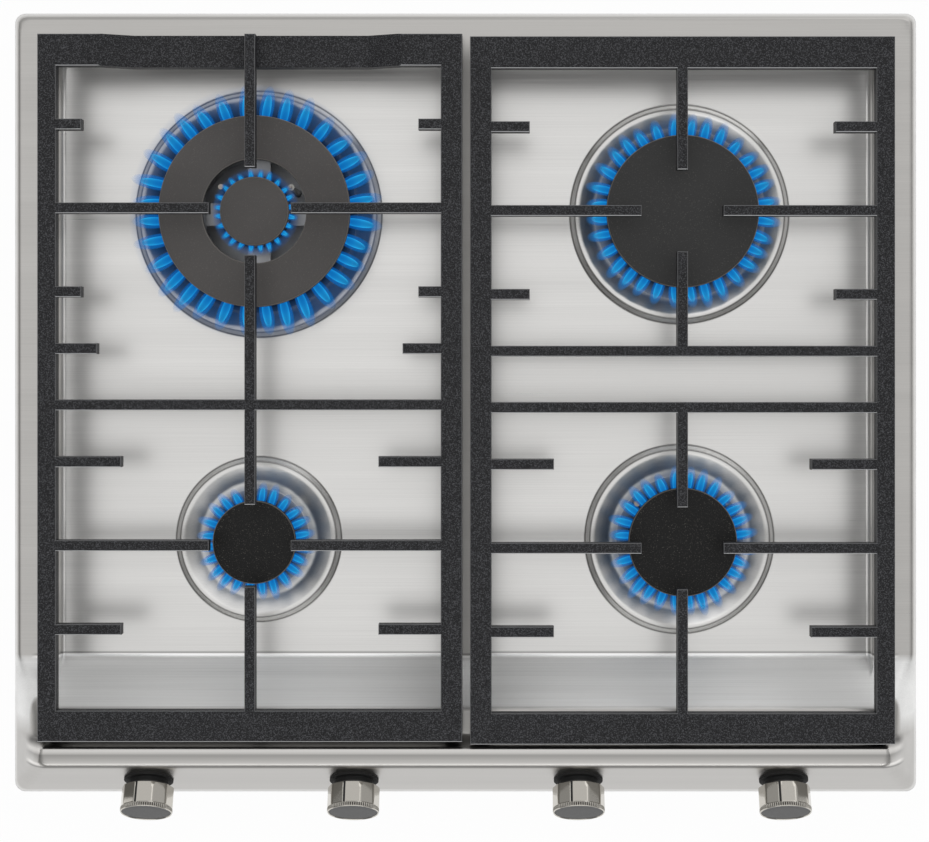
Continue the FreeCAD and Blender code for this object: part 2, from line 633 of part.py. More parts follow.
for name, (x, y) in SINGLE.items():
    cap, cup = name + "_cap", name + "_cup"
    wall_out = f"({cap} - crown_in)"
    wall_in = f"({cap} - crown_in - crown_wall)"
    spigot = f"({cup} - cup_wall - lift_gap)"
    chamber = f"{cup} - cup_wall"
    plug_at = on_circle(x, y, f"{cap} + plug_out", PLUG_TURN)
    probe_at = on_circle(x, y, f"{cap} + plug_out", PROBE_TURN)
    body = place(turned(name + "_cup_body", [
        ("0", CUP_LOW), (cup, CUP_LOW), (cup, CUP_SEAT), (f"{cap} + flange_over", CUP_SEAT),
        (f"{cap} + flange_over", CUP_TOP), (chamber, CUP_TOP), (chamber, f"{CUP_LOW} + cup_wall"),
        ("0", f"{CUP_LOW} + cup_wall"),
    ]), x, y)
    keep(side_holes(name + "_cup_drilled", body, (plug_at, probe_at), CUP_SEAT + " - 1", CUP_TOP + " + 1",
                    "plug_radius + lift_gap"), name + "_burner_cup")
    ring = place(turned(name + "_crown_body", [
        (f"{spigot} - spigot_wall", f"{CUP_TOP} - spigot_drop"), (spigot, f"{CUP_TOP} - spigot_drop"),
        (spigot, CUP_TOP), (wall_out, CUP_TOP), (wall_out, CROWN_TOP), (wall_in, CROWN_TOP),
        (wall_in, f"{CUP_TOP} + crown_floor"), (f"{spigot} - spigot_wall", f"{CUP_TOP} + crown_floor"),
    ]), x, y)
    slots = ports(name, x, y, wall_in, wall_out, CROWN_TOP)
    keep(cut(name + "_crown", ring, slots), name + "_flame_crown")
    centring = f"({wall_in} - lift_gap)"
    keep(place(turned(name + "_cap_body", [
        ("0", CROWN_TOP), (f"{centring} - spigot_wall", CROWN_TOP),
        (f"{centring} - spigot_wall", f"{CROWN_TOP} - cap_ring_high"),
        (centring, f"{CROWN_TOP} - cap_ring_high"), (centring, CROWN_TOP), (cap, CROWN_TOP),
        (cap, f"{CAP_EDGE} - cap_edge"), (f"{cap} - cap_edge", CAP_EDGE), ("0", f"{CAP_EDGE} + cap_crown"),
    ]), x, y), name + "_burner_cap")
    ignition(name, plug_at, probe_at)
    jets.append(rod(name + "_jet", x, y, f"{CUP_LOW} + cup_wall", "jet_radius", "jet_high"))
    bx, by, _, _ = BURNERS[name]
    for turn in (PLUG_TURN, PROBE_TURN):
        out = values[cap] + d.plug_out
        reach = V(bx + out * math.cos(math.radians(turn)), by + out * math.sin(math.radians(turn)), 0)
        plate = plate.cut(drill_plate(reach.x, reach.y, d.plug_radius + d.lift_gap))

keep(feature("pressed_plate", plate), "top_plate")


# Wok burner. A wide ring of flame round a small one: the cup has a column in its middle for the
# small crown, held by four bridges, and the plug and the probe stand between the two rings.

wok = ("left_x", "back_y")
WOK_FLANGE = "(wok_boss - 2 * boss_flank - dish_width - lift_gap)"
WOK_OUT = "(wok_cap - crown_in)"
WOK_IN = "(wok_eye + crown_in)"
COLUMN = "(wok_core - crown_in - crown_wall)"
WOK_SPIGOT = "(wok_cup - cup_wall - lift_gap)"
WOK_RING_IN = f"({WOK_OUT} - crown_wall)"
RING_CENTRING = f"({WOK_RING_IN} - lift_gap)"
CORE_OUT = "(wok_core - crown_in)"
CORE_IN = f"({CORE_OUT} - crown_wall / 2)"
CORE_CENTRING = f"({CORE_IN} - lift_gap)"
wok_plug = on_circle(*wok, "core_probe_r", WOK_PLUG_TURN)
wok_probe = on_circle(*wok, "core_probe_r", WOK_PROBE_TURN)
shell = place(turned("wok_cup_shell", [
    ("0", CUP_LOW), ("wok_cup", CUP_LOW), ("wok_cup", CUP_SEAT), (WOK_FLANGE, CUP_SEAT),
    (WOK_FLANGE, CUP_TOP), ("wok_cup - cup_wall", CUP_TOP),
    ("wok_cup - cup_wall", f"{CUP_LOW} + cup_wall"), (COLUMN, f"{CUP_LOW} + cup_wall"),
    (COLUMN, CUP_TOP), (f"{COLUMN} - cup_wall", CUP_TOP), (f"{COLUMN} - cup_wall", f"{CUP_LOW} + cup_wall"),
    ("0", f"{CUP_LOW} + cup_wall"),
]), *wok)
bridges = []
span = f"(wok_cup - {COLUMN})"
middle = f"((wok_cup + {COLUMN} - cup_wall) / 2)"
bridge_low = f"{CUP_TOP} - spigot_drop / 2 - bridge_clear - bridge_thick"
for index, (along, across) in enumerate(((1, 0), (0, 1), (-1, 0), (0, -1))):
    long, deep = (span, "bridge_width") if along else ("bridge_width", span)
    bridges.append(box(f"wok_bridge_{index}", f"left_x + {along} * {middle} - {long} / 2",
                       f"back_y + {across} * {middle} - {deep} / 2", bridge_low, long, deep, "bridge_thick"))
keep(side_holes("wok_cup_drilled", fuse("wok_cup_bridged", shell, *bridges), (wok_plug, wok_probe),
                f"{CUP_LOW} - 1", CUP_TOP, "plug_radius + lift_gap"), "wok_burner_cup")
wok_ring = place(turned("wok_crown_body", [
    (f"{WOK_SPIGOT} - spigot_wall", f"{CUP_TOP} - spigot_drop / 2"),
    (WOK_SPIGOT, f"{CUP_TOP} - spigot_drop / 2"), (WOK_SPIGOT, CUP_TOP), (WOK_OUT, CUP_TOP),
    (WOK_OUT, CROWN_TOP), (WOK_RING_IN, CROWN_TOP), (WOK_RING_IN, f"{CUP_TOP} + crown_floor"),
    (f"{WOK_IN} + crown_wall", f"{CUP_TOP} + crown_floor"), (f"{WOK_IN} + crown_wall", CROWN_TOP),
    (WOK_IN, CROWN_TOP), (WOK_IN, CUP_TOP), (f"{WOK_SPIGOT} - spigot_wall", CUP_TOP),
]), *wok)
ring_slots = ports("wok_ring", *wok, WOK_RING_IN, WOK_OUT, CROWN_TOP)
keep(cut("wok_ring_crown", wok_ring, ring_slots), "wok_ring_flame_crown")
keep(place(turned("wok_ring_cap_body", [
    ("wok_eye", CROWN_TOP), (f"{RING_CENTRING} - spigot_wall", CROWN_TOP),
    (f"{RING_CENTRING} - spigot_wall", f"{CROWN_TOP} - cap_ring_high"),
    (RING_CENTRING, f"{CROWN_TOP} - cap_ring_high"), (RING_CENTRING, CROWN_TOP), ("wok_cap", CROWN_TOP),
    ("wok_cap", f"{CAP_EDGE} - cap_edge"), ("wok_cap - cap_edge", CAP_EDGE),
    ("wok_eye + cap_edge", CAP_EDGE), ("wok_eye", f"{CAP_EDGE} - cap_edge"),
]), *wok), "wok_ring_cap")
core_spigot = f"({COLUMN} - cup_wall - lift_gap)"
core = place(turned("wok_core_body", [
    (f"{core_spigot} - spigot_wall", f"{CUP_TOP} - spigot_drop"),
    (core_spigot, f"{CUP_TOP} - spigot_drop"), (core_spigot, CUP_TOP), (CORE_OUT, CUP_TOP),
    (CORE_OUT, CROWN_TOP), (CORE_IN, CROWN_TOP), (CORE_IN, f"{CUP_TOP} + crown_floor"),
    (f"{core_spigot} - spigot_wall", f"{CUP_TOP} + crown_floor"),
]), *wok)
core_slots = ports("wok_core", *wok, CORE_IN, CORE_OUT, CROWN_TOP, "port_high / 2")
keep(cut("wok_core_crown", core, core_slots), "wok_core_flame_crown")
keep(place(turned("wok_core_cap_body", [
    ("0", CROWN_TOP), (f"{CORE_CENTRING} - spigot_wall", CROWN_TOP),
    (f"{CORE_CENTRING} - spigot_wall", f"{CROWN_TOP} - cap_ring_high"),
    (CORE_CENTRING, f"{CROWN_TOP} - cap_ring_high"), (CORE_CENTRING, CROWN_TOP), ("wok_core", CROWN_TOP),
    ("wok_core", f"{CAP_EDGE} - cap_edge"), ("wok_core - cap_edge", CAP_EDGE),
    ("0", f"{CAP_EDGE} + cap_crown"),
]), *wok), "wok_core_cap")
ignition("wok", wok_plug, wok_probe, "wok_plug_low")
jet_floor = f"{CUP_LOW} + cup_wall"
ring_jet_at = on_circle(*wok, "ring_jet", RING_JET_TURN)
jets.append(rod("wok_core_jet", *wok, jet_floor, "jet_radius", "jet_high"))
jets.append(rod("wok_ring_jet", *ring_jet_at, jet_floor, "jet_radius", "jet_high"))
keep(group("plug_group", *plugs), "spark_plugs")
keep(group("tip_group", *tips), "spark_tips")
keep(group("probe_group", *probes), "flame_probes")
keep(group("jet_group", *jets), "injectors")


# Grates. Each is one iron casting: a flat frame, crossbars and fingers, with two short legs at
# the front that stand on the shelf and two longer ones that lean back onto the rim. A rubber foot
# is pushed onto each leg. The left grate's back rail is sunk, and its middle finger bridges it.

TIP = {"left": ("wok_tip", "tip_reach"), "right": ("tip_reach", "tip_reach")}
BAR_LOW = "(grate_top - bar_high)"
SHELF_MID = "(-plate_depth / 2 + lip_top / tan(edge_angle) + lip_width + riser_run + shelf_depth / 2)"
RIM_MID = "(plate_depth / 2 - well_back + leg_deep / 2 + leg_clear)"


def upright_sketch(name, facing, points, **at):
    """A free sketch in an upright plane: facing "y" lies in XZ, facing "x" lies in YZ."""
    sketch = doc.addObject("Sketcher::SketchObject", name)
    turns = {"y": FreeCAD.Rotation(V(1, 0, 0), 90), "x": FreeCAD.Rotation(V(1, 1, 1), 120)}
    sketch.Placement.Rotation = turns[facing]
    outline(sketch, points)
    return drive(sketch, **at)


def pulled(name, sketch, length):
    """A sketch pulled along its own normal."""
    solid = doc.addObject("Part::Extrusion", name)
    solid.Base = sketch
    solid.DirMode = "Normal"
    solid.Solid = True
    return drive(solid, LengthFwd=length)


def make_grate(side, sign):
    """One casting with its legs, and its four rubber feet."""
    x0 = "(grate_mid - grate_gap / 2 - grate_width)" if sign < 0 else "(grate_mid + grate_gap / 2)"
    slip = "0" if sign < 0 else "grate_slip"
    back = f"(grate_back - {slip})"
    front = f"({back} - grate_depth)"
    x1 = f"({x0} + grate_width)"
    middle = f"({x0} + grate_width / 2)"
    outer, inner = ("rail_outer", "rail_inner") if sign < 0 else ("rail_inner", "rail_outer")
    bars = []

    def bar(x, y, long, deep, low=BAR_LOW, high="bar_high"):
        bars.append(box(f"{side}_bar_{len(bars)}", x, y, low, long, deep, high))

    def across(y, start, long):
        bar(start, f"{y} - bar_width / 2", long, "bar_width")

    def upward(start, stop):
        bar(f"{middle} - bar_width / 2", start, "bar_width", f"{stop} - ({start})")

    bar(x0, front, outer, "grate_depth")
    bar(f"{x1} - {inner}", front, inner, "grate_depth")
    bar(x0, front, "grate_width", "rail_front")
    bar_y = [f"({y} - {slip})" for y in ("back_y", "front_y", "bar_second", "bar_middle")]
    rear, fore, second, mid = bar_y
    rear_tip, fore_tip = TIP[side]
    upward(f"{rear} + tip_reach", back)
    upward(mid if sign < 0 else second, f"{rear} - {rear_tip}")
    upward(f"{fore} + {fore_tip}", mid)
    upward(front, f"{fore} - tip_reach")
    across(mid, x0, "grate_width")
    for y in (rear, fore):
        across(y, x0, "grate_width / 2 - tip_reach")
        across(y, f"{middle} + tip_reach", "grate_width / 2 - tip_reach")
    if sign < 0:
        stubs = [(rear, "stub_a"), (fore, "stub_c")]
        for start in (x0, f"{x1} - stub_b"):
            across(second, start, "stub_b")
        sunk = "(grate_top - sink_depth)"
        edge, slope = "sink_start", "(sink_start + sink_slope)"
        far_edge, far_slope = "grate_width - sink_start", "grate_width - sink_start - sink_slope"
        low = f"({sunk} - bar_high)"
        profile = upright_sketch("left_back_profile", "y", [
            ("0", BAR_LOW), (edge, BAR_LOW), (slope, low), (far_slope, low), (far_edge, BAR_LOW),
            ("grate_width", BAR_LOW), ("grate_width", "grate_top"), (far_edge, "grate_top"),
            (far_slope, sunk), (slope, sunk), (edge, "grate_top"), ("0", "grate_top"),
        ], x=x0, y=back)
        bars.append(pulled("left_back_rail", profile, "rail_back"))
        bar(f"{middle} - bar_width / 2", f"{back} - rail_back", "bar_width", "rail_back",
            f"{sunk} - bar_high / 2", "bar_high + sink_depth / 2")
    else:
        stubs = [(rear, "stub_b"), (fore, "stub_c")]
        across(second, x0, "grate_width")
        bar(x0, f"{back} - rail_back", "grate_width", "rail_back")
    for y, reach in stubs:
        for shift in ("+ stub_pitch", "- stub_pitch"):
            across(f"{y} {shift}", x0, reach)
            across(f"{y} {shift}", f"{x1} - {reach}", reach)

    feet = []
    rim_mid = f"({RIM_MID} - {slip})"
    for number, x in enumerate((f"({x0} + leg_side)", f"({x1} - leg_side - leg_wide)")):
        front_leg = box(f"{side}_front_leg_{number}", x, f"{SHELF_MID} - leg_deep / 2",
                        "shelf_top + foot_high", "leg_wide", "leg_deep",
                        f"{BAR_LOW} - shelf_top - foot_high + 1")
        profile = upright_sketch(f"{side}_back_leg_profile_{number}", "x", [
            (f"{rim_mid} - leg_deep / 2", "rim_top + foot_high"),
            (f"{rim_mid} + leg_deep / 2", "rim_top + foot_high"),
            (f"{back} - leg_in", BAR_LOW), (f"{back} - leg_in", f"{BAR_LOW} + 1"),
            (f"{back} - leg_in - leg_deep", f"{BAR_LOW} + 1"), (f"{back} - leg_in - leg_deep", BAR_LOW),
        ], x=x)
        bars += [front_leg, pulled(f"{side}_back_leg_{number}", profile, "leg_wide")]
        for end, y, z in (("front", SHELF_MID, "shelf_top"), ("back", rim_mid, "rim_top")):
            feet.append(box(f"{side}_{end}_foot_{number}", f"{x} + foot_in",
                            f"{y} - leg_deep / 2 + foot_in", z, "leg_wide - 2 * foot_in",
                            "leg_deep - 2 * foot_in", "foot_high"))
    casting = fuse(side + "_casting", *bars)
    doc.recompute()
    tops = [number for number, edge in enumerate(casting.Shape.Edges, start=1)
            if edge.BoundBox.ZMin > d.grate_top - 0.01]
    eased = doc.addObject("Part::Fillet", side + "_eased")
    eased.Base = casting
    eased.Edges = [(number, d.edge_round, d.edge_round) for number in tops]
    keep(eased, "grate_" + side)
    keep(group(side + "_feet", *feet), f"grate_{side}_feet")


make_grate("left", -1)
make_grate("right", 1)


# Knobs. A plated metal shell with ten flats is pressed over a black core, and the core over the
# valve's spindle. Pushing a knob in by the travel of the collar closes the ignition switch and
# frees the valve, which then turns. A rubber seal with a sleeve keeps spills out of the fascia.

SEAT_Y = "(-plate_depth / 2 + knob_seat / tan(edge_angle))"
KNOB_X = {
    1: "(knob_shift - knob_outer)",
    2: "(knob_shift - knob_inner)",
    3: "(knob_shift + knob_inner)",
    4: "(knob_shift + knob_outer)",
}
FLATS = 10
METAL_IN = "(knob_radius - knob_wall)"
FACE = "(knob_front - face_recess)"


def seated(obj, number):
    """Put a piece drawn along Z onto a knob's axis, with Z pointing out of the fascia."""
    obj.Placement.Rotation = FreeCAD.Rotation(V(1, 0, 0), d.edge_angle)
    return drive(obj, x=KNOB_X[number], y=SEAT_Y, z="knob_seat")


def knob_shell(number):
    """The plated shell: turned, with flats, and a groove as its pointer."""
    name = f"shell_{number}"
    body = turned(name + "_body", [
        (METAL_IN, "knob_back"), ("knob_radius", "knob_back"), ("knob_radius", "knob_front - knob_chamfer"),
        ("knob_radius - knob_chamfer", "knob_front"), ("face_radius", "knob_front"), ("face_radius", FACE),
        ("0", FACE), ("0", f"{FACE} - knob_wall"), (METAL_IN, f"{FACE} - knob_wall"),
    ])
    prism = add("Prism", name + "_prism", z="knob_back - 1",
                Height="knob_front - knurl_length - knob_back + 1",
                Circumradius=f"knob_flat / cos(180 deg / {FLATS})")
    prism.Polygon = FLATS
    band = rod(name + "_band", "0", "0", "knob_front - knurl_length", "knob_radius + 1", "knurl_length + 1")
    faceted = doc.addObject("Part::MultiCommon", name + "_faceted")
    faceted.Shapes = [body, fuse(name + "_outside", prism, band)]
    groove = box(name + "_groove", "0", "0", "knob_back - 1", "pointer_width", "knob_wall + pointer_deep",
                 "knob_front - knob_back + 2")
    turn = math.radians(90 + d.pointer_turn)
    groove.Placement.Rotation = FreeCAD.Rotation(V(0, 0, 1), d.pointer_turn)
    c, k = math.cos(turn), math.sin(turn)
    drive(groove, x=f"(knob_radius - pointer_deep) * {c:.6f} - pointer_width / 2 * {k:.6f}",
          y=f"(knob_radius - pointer_deep) * {k:.6f} + pointer_width / 2 * {c:.6f}")
    return cut(name, faceted, groove)


seals, switches = [], []
for number in KNOB_X:
    keep(seated(knob_shell(number), number), f"knob_{number}")
    keep(seated(turned(f"core_{number}", [
        ("neck_radius - neck_wall", "neck_back"), ("neck_radius", "neck_back"), ("neck_radius", "knob_back"),
        (METAL_IN, "knob_back"), (METAL_IN, f"{FACE} - knob_wall"), ("0", f"{FACE} - knob_wall"),
        ("0", "spindle_out"), ("spindle_radius", "spindle_out"), ("spindle_radius", "neck_back + neck_depth"),
        ("neck_radius - neck_wall", "neck_back + neck_depth"),
    ]), number), f"knob_core_{number}")
    keep(seated(turned(f"shaft_{number}", [
        ("0", "-spindle_in"), ("spindle_radius", "-spindle_in"), ("spindle_radius", "spindle_out"),
        ("0", "spindle_out"),
    ]), number), f"spindle_{number}")
    keep(seated(turned(f"collar_{number}", [
        ("spindle_radius + spindle_gap", "-collar_back - collar_thick"),
        ("collar_radius", "-collar_back - collar_thick"), ("collar_radius", "-collar_back"),
        ("spindle_radius + spindle_gap", "-collar_back"),
    ]), number), f"push_collar_{number}")
    seals.append(seated(turned(f"seal_{number}", [
        ("fascia_hole", "0"), ("seal_radius", "0"), ("seal_radius", "seal_thick"),
        ("sleeve_radius", "seal_thick"), ("sleeve_radius", "sleeve_high"),
        ("sleeve_radius - sleeve_wall", "sleeve_high"),
        ("sleeve_radius - sleeve_wall", "seal_thick"), ("fascia_hole", "seal_thick"),
    ]), number))
    switch = box(f"switch_box_{number}", "-switch_wide / 2", "valve_width / 2", "-switch_back", "switch_wide",
                 "switch_thick", "switch_long")
    switches.append(seated(group(f"switch_{number}", switch), number))
keep(group("seal_group", *seals), "knob_seals")
keep(group("switch_group", *switches), "ignition_switches")


# Gas side. A steel rail runs behind the fascia and round to the inlet in the floor at the back
# right. Each brass valve stands on the rail by a stem, and an aluminium pipe leads from the back of
# each valve to its burner's cup. The wok burner has two pipes, for its ring and for its core.

AXIS = V(0, -math.sin(SLOPE), math.cos(SLOPE))
SEAT_POINT_Y = FRONT + d.knob_seat / math.tan(SLOPE)
VALVE_REAR = V(0, SEAT_POINT_Y, d.knob_seat) - AXIS * (d.valve_front + d.valve_length)
CASE_FLOOR = d.gauge - d.case_drop
KNOB_AT = dict(zip(KNOB_X, (-d.knob_outer, -d.knob_inner, d.knob_inner, d.knob_outer)))


def bent_path(points, arc):
    """A wire through points, with an arc of one radius at each inner corner."""
    edges = []
    start = points[0]
    for before, corner, after in zip(points, points[1:], points[2:]):
        back = (before - corner).normalize()
        ahead = (after - corner).normalize()
        half = back.getAngle(ahead) / 2
        reach = arc / math.tan(half)
        middle = corner + (back + ahead).normalize() * (arc / math.sin(half) - arc)
        edges.append(Part.LineSegment(start, corner + back * reach).toShape())
        edges.append(Part.Arc(corner + back * reach, middle, corner + ahead * reach).toShape())
        start = corner + ahead * reach
    edges.append(Part.LineSegment(start, points[-1]).toShape())
    return Part.Wire(edges)


def round_bar(points, arc, radius):
    """A round bar bent along a path."""
    path = bent_path(points, arc)
    ring = Part.Wire([Part.makeCircle(radius, points[0], points[1] - points[0])])
    return path.makePipeShell([ring], True, False)


rail_points = [
    V(-d.rail_left, d.rail_y, d.rail_z),
    V(d.inlet_x, d.rail_y, d.rail_z),
    V(d.inlet_x, d.inlet_y, d.rail_z),
    V(d.inlet_x, d.inlet_y, CASE_FLOOR + d.inlet_collar_long),
]
bore_points = [rail_points[0] + V(d.rail_radius - d.rail_bore, 0, 0)] + rail_points[1:]
gas_rail = round_bar(rail_points, d.rail_arc, d.rail_radius)
gas_rail = gas_rail.cut(round_bar(bore_points, d.rail_arc, d.rail_bore))
BORE_END = "-spindle_in - push_travel - spindle_end"
for number, formula in KNOB_X.items():
    x = d.knob_shift + KNOB_AT[number]
    gas_rail = gas_rail.cut(Part.makeCylinder(d.tap_bore, d.rail_radius + 1, V(x, d.rail_y, d.rail_z)))
    valve_box = box(f"valve_box_{number}", "-valve_width / 2", "-valve_width / 2",
                    "-valve_front - valve_length", "valve_width", "valve_width", "valve_length")
    block = seated(group(f"valve_block_{number}", valve_box), number)
    stem = rod(f"valve_stem_{number}", formula, "rail_y", "rail_z", "tap_radius", "-rail_z")
    rail_core = rod(f"valve_saddle_{number}", f"{formula} - valve_width", "rail_y", "rail_z", "rail_radius",
                    "2 * valve_width")
    rail_core.Placement.Rotation = FreeCAD.Rotation(V(0, 1, 0), 90)
    gas_way = rod(f"valve_gas_way_{number}", formula, "rail_y", "rail_z", "tap_bore", "-rail_z")
    bore = seated(turned(f"valve_bore_{number}", [
        ("0", BORE_END), ("spindle_radius + spindle_gap", BORE_END),
        ("spindle_radius + spindle_gap", "0"), ("0", "0"),
    ]), number)
    keep(cut(f"valve_drilled_{number}", fuse(f"valve_solid_{number}", block, stem),
             fuse(f"valve_hollows_{number}", rail_core, gas_way, bore)), f"valve_{number}")
keep(feature("bent_rail", gas_rail), "gas_rail")

brackets = []
for index, x in enumerate(("-bracket_x", "0", "bracket_x")):
    web = box(f"bracket_web_{index}", f"{x} - bracket_gauge / 2", "rail_y - bracket_deep / 2",
              "gauge - case_drop", "bracket_gauge", "bracket_deep", "rail_z + case_drop - gauge")
    foot = box(f"bracket_foot_{index}", f"{x} - bracket_wide / 2", "rail_y - bracket_deep / 2",
               "gauge - case_drop", "bracket_wide", "bracket_deep", "bracket_gauge")
    saddle = rod(f"bracket_saddle_{index}", f"{x} - bracket_wide", "rail_y", "rail_z", "rail_radius",
                 "2 * bracket_wide")
    saddle.Placement.Rotation = FreeCAD.Rotation(V(0, 1, 0), 90)
    brackets.append(cut(f"bracket_{index}", fuse(f"bracket_solid_{index}", web, foot), saddle))
keep(group("bracket_group", *brackets), "rail_brackets")

keep(drive(turned("inlet_body", [
    ("rail_bore", "-case_drop - inlet_out"), ("inlet_radius", "-case_drop - inlet_out"),
    ("inlet_radius", "-case_drop"), ("inlet_radius - inlet_play", "-case_drop"),
    ("inlet_radius - inlet_play", "gauge - case_drop"), ("inlet_collar", "gauge - case_drop"),
    ("inlet_collar", "gauge - case_drop + inlet_collar_long"),
    ("rail_bore", "gauge - case_drop + inlet_collar_long"),
]), x="inlet_x", y="inlet_y"), "gas_inlet")

PIPES = {
    "wok_ring": ("wok", 1, -d.pipe_twin, 0),
    "wok_core": ("wok", 1, d.pipe_twin, -d.pipe_apart),
    "small": ("small", 2, 0, 0),
    "semi": ("semi", 3, 0, 0),
    "rapid": ("rapid", 4, 0, 0),
}
fall = (VALVE_REAR.z - d.pipe_z) / AXIS.z
for name, (burner, number, shift, row) in PIPES.items():
    cup_x, cup_y, _, cup = BURNERS[burner]
    x = d.knob_shift + KNOB_AT[number] + shift
    start = VALVE_REAR + V(x, 0, 0)
    points = [start, start - AXIS * fall, V(x, cup_y + row, d.pipe_z), V(cup_x, cup_y + row, d.pipe_z)]
    pipe = round_bar(points, d.pipe_arc, d.pipe_radius)
    pipe = pipe.cut(round_bar(points, d.pipe_arc, d.pipe_bore))
    pipe = pipe.cut(Part.makeCylinder(cup, d.cup_depth, V(cup_x, cup_y, SEAT - d.cup_depth)))
    keep(feature(name + "_bent_pipe", pipe), name + "_pipe")


# Case. A folded steel tray hangs from the plate's rim and covers the works from below. Four clamps
# screwed to its sides reach under the worktop, and a foam strip seals the rim to the worktop.

VENT_STEPS = (-2, -1, 0, 1, 2)
tray = box("tray_outside", "-case_width / 2", "-case_depth / 2", "-case_drop", "case_width", "case_depth",
           "case_drop + rim_top - gauge")
hollow = box("tray_inside", "gauge - case_width / 2", "gauge - case_depth / 2", "gauge - case_drop",
             "case_width - 2 * gauge", "case_depth - 2 * gauge", "case_drop + rim_top")
lowered = box("tray_front", "gauge - case_width / 2", "-case_depth / 2 - 1", "-case_front_drop",
              "case_width - 2 * gauge", "gauge + 2", "case_front_drop + rim_top")
flanges = [
    box("flange_left", "-case_width / 2 - case_flange", "-case_depth / 2", "rim_top - 2 * gauge",
        "case_flange + gauge", "case_depth + case_flange", "gauge"),
    box("flange_right", "case_width / 2 - gauge", "-case_depth / 2", "rim_top - 2 * gauge",
        "case_flange + gauge", "case_depth + case_flange", "gauge"),
    box("flange_back", "-case_width / 2", "case_depth / 2 - gauge", "rim_top - 2 * gauge",
        "case_width", "case_flange + gauge", "gauge"),
]
holes = [
    rod("inlet_hole", "inlet_x", "inlet_y", "-case_drop - 1", "inlet_radius + inlet_play", "gauge + 2"),
    rod("gland_hole", "gland_x", "gland_y", "-case_drop - 1", "gland_radius + gland_play", "gauge + 2"),
]
for row in ("-vent_y", "vent_y"):
    for step in VENT_STEPS:
        holes.append(box(f"vent_{len(holes)}", f"{step} * vent_pitch - vent_width / 2",
                         f"{row} - vent_length / 2", "-case_drop - 1", "vent_width", "vent_length",
                         "gauge + 2"))
clamps, screws = [], []
for side in (-1, 1):
    for row in ("-clamp_y", "clamp_y"):
        number = len(clamps)
        wall = f"({side} * case_width / 2)"
        level = "(clamp_height / 2 - clamp_z)"
        leg = box(f"clamp_leg_{number}", f"{wall} + {side} * clamp_gauge / 2 - clamp_gauge / 2",
                  f"{row} - clamp_width / 2", "-clamp_z", "clamp_gauge", "clamp_width", "clamp_height")
        foot = box(f"clamp_foot_{number}", f"{wall} + {side} * clamp_x / 2 - clamp_x / 2",
                   f"{row} - clamp_width / 2", "-clamp_z", "clamp_x", "clamp_width", "clamp_gauge")
        drill = rod(f"clamp_drill_{number}", f"{wall} - 3 * clamp_gauge", row, level,
                    "screw_shank + screw_play", "6 * clamp_gauge")
        shank = rod(f"screw_shank_{number}",
                    f"{wall} + {side} * (clamp_gauge - screw_long / 2) - screw_long / 2", row, level,
                    "screw_shank", "screw_long")
        head = rod(f"screw_head_{number}",
                   f"{wall} + {side} * (clamp_gauge + screw_head_high / 2) - screw_head_high / 2", row, level,
                   "screw_head", "screw_head_high")
        for lying in (drill, shank, head):
            lying.Placement.Rotation = FreeCAD.Rotation(V(0, 1, 0), 90)
        clamps.append(cut(f"clamp_{number}", fuse(f"clamp_bent_{number}", leg, foot), drill))
        screws.append(fuse(f"screw_{number}", shank, head))
        holes.append(drill)
folded = fuse("tray", cut("tray_lowered", cut("tray_hollow", tray, hollow), lowered), *flanges)
keep(cut("tray_drilled", folded, fuse("tray_holes", *holes)), "bottom_case")
keep(group("clamp_group", *clamps), "hold_down_clamps")
keep(group("screw_group", *screws), "clamp_screws")
strip = box("strip_outside", "seal_inset - plate_width / 2", "seal_inset - plate_depth / 2", "0",
            "plate_width - 2 * seal_inset", "plate_depth - 2 * seal_inset", "rim_top - gauge")
SEAL_INSIDE = "(seal_inset + seal_width)"
within = box("strip_inside", f"{SEAL_INSIDE} - plate_width / 2", f"{SEAL_INSIDE} - plate_depth / 2", "-1",
             f"plate_width - 2 * {SEAL_INSIDE}", f"plate_depth - 2 * {SEAL_INSIDE}", "rim_top + 2")
keep(cut("strip", strip, within), "rim_seal")


# Electrical side, on the floor of the case: the unit that makes the ignition sparks, the terminal
# block for the mains, and the gland in the floor through which the mains lead comes in.

keep(box("spark_box", "-box_long / 2", "box_y - box_deep / 2", "gauge - case_drop", "box_long", "box_deep",
         "box_high"), "ignition_unit")
keep(box("terminals", "gland_x - terminal_long / 2", "case_depth / 2 - gauge - terminal_back - terminal_deep",
         "gauge - case_drop", "terminal_long", "terminal_deep", "terminal_high"), "terminal_block")
keep(drive(turned("gland_body", [
    ("gland_bore", "-case_drop - gland_out"), ("gland_radius", "-case_drop - gland_out"),
    ("gland_radius", "gauge - case_drop"), ("gland_flange", "gauge - case_drop"),
    ("gland_flange", "gauge - case_drop + gland_flange_thick"),
    ("gland_bore", "gauge - case_drop + gland_flange_thick"),
]), x="gland_x", y="gland_y"), "cord_gland")


# Every object must have been worked out, and every sub-part must have a sound shape.

doc.recompute()
for obj in doc.Objects:
    if {"Invalid", "Error"} & set(obj.State):
        raise RuntimeError(f"{obj.Name} was not worked out: {obj.State}")
for obj in sub_parts:
    if obj.Shape.isNull() or not obj.Shape.isValid():
        raise RuntimeError(f"{obj.Label} has no sound shape")

os.makedirs("parts", exist_ok=True)
for obj in sub_parts:
    obj.Shape.exportStep(f"parts/{obj.Label}.step")
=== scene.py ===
"""A built-in gas cooktop, 60 cm wide: brushed stainless steel, cast-iron grates, four burners alight."""

import math

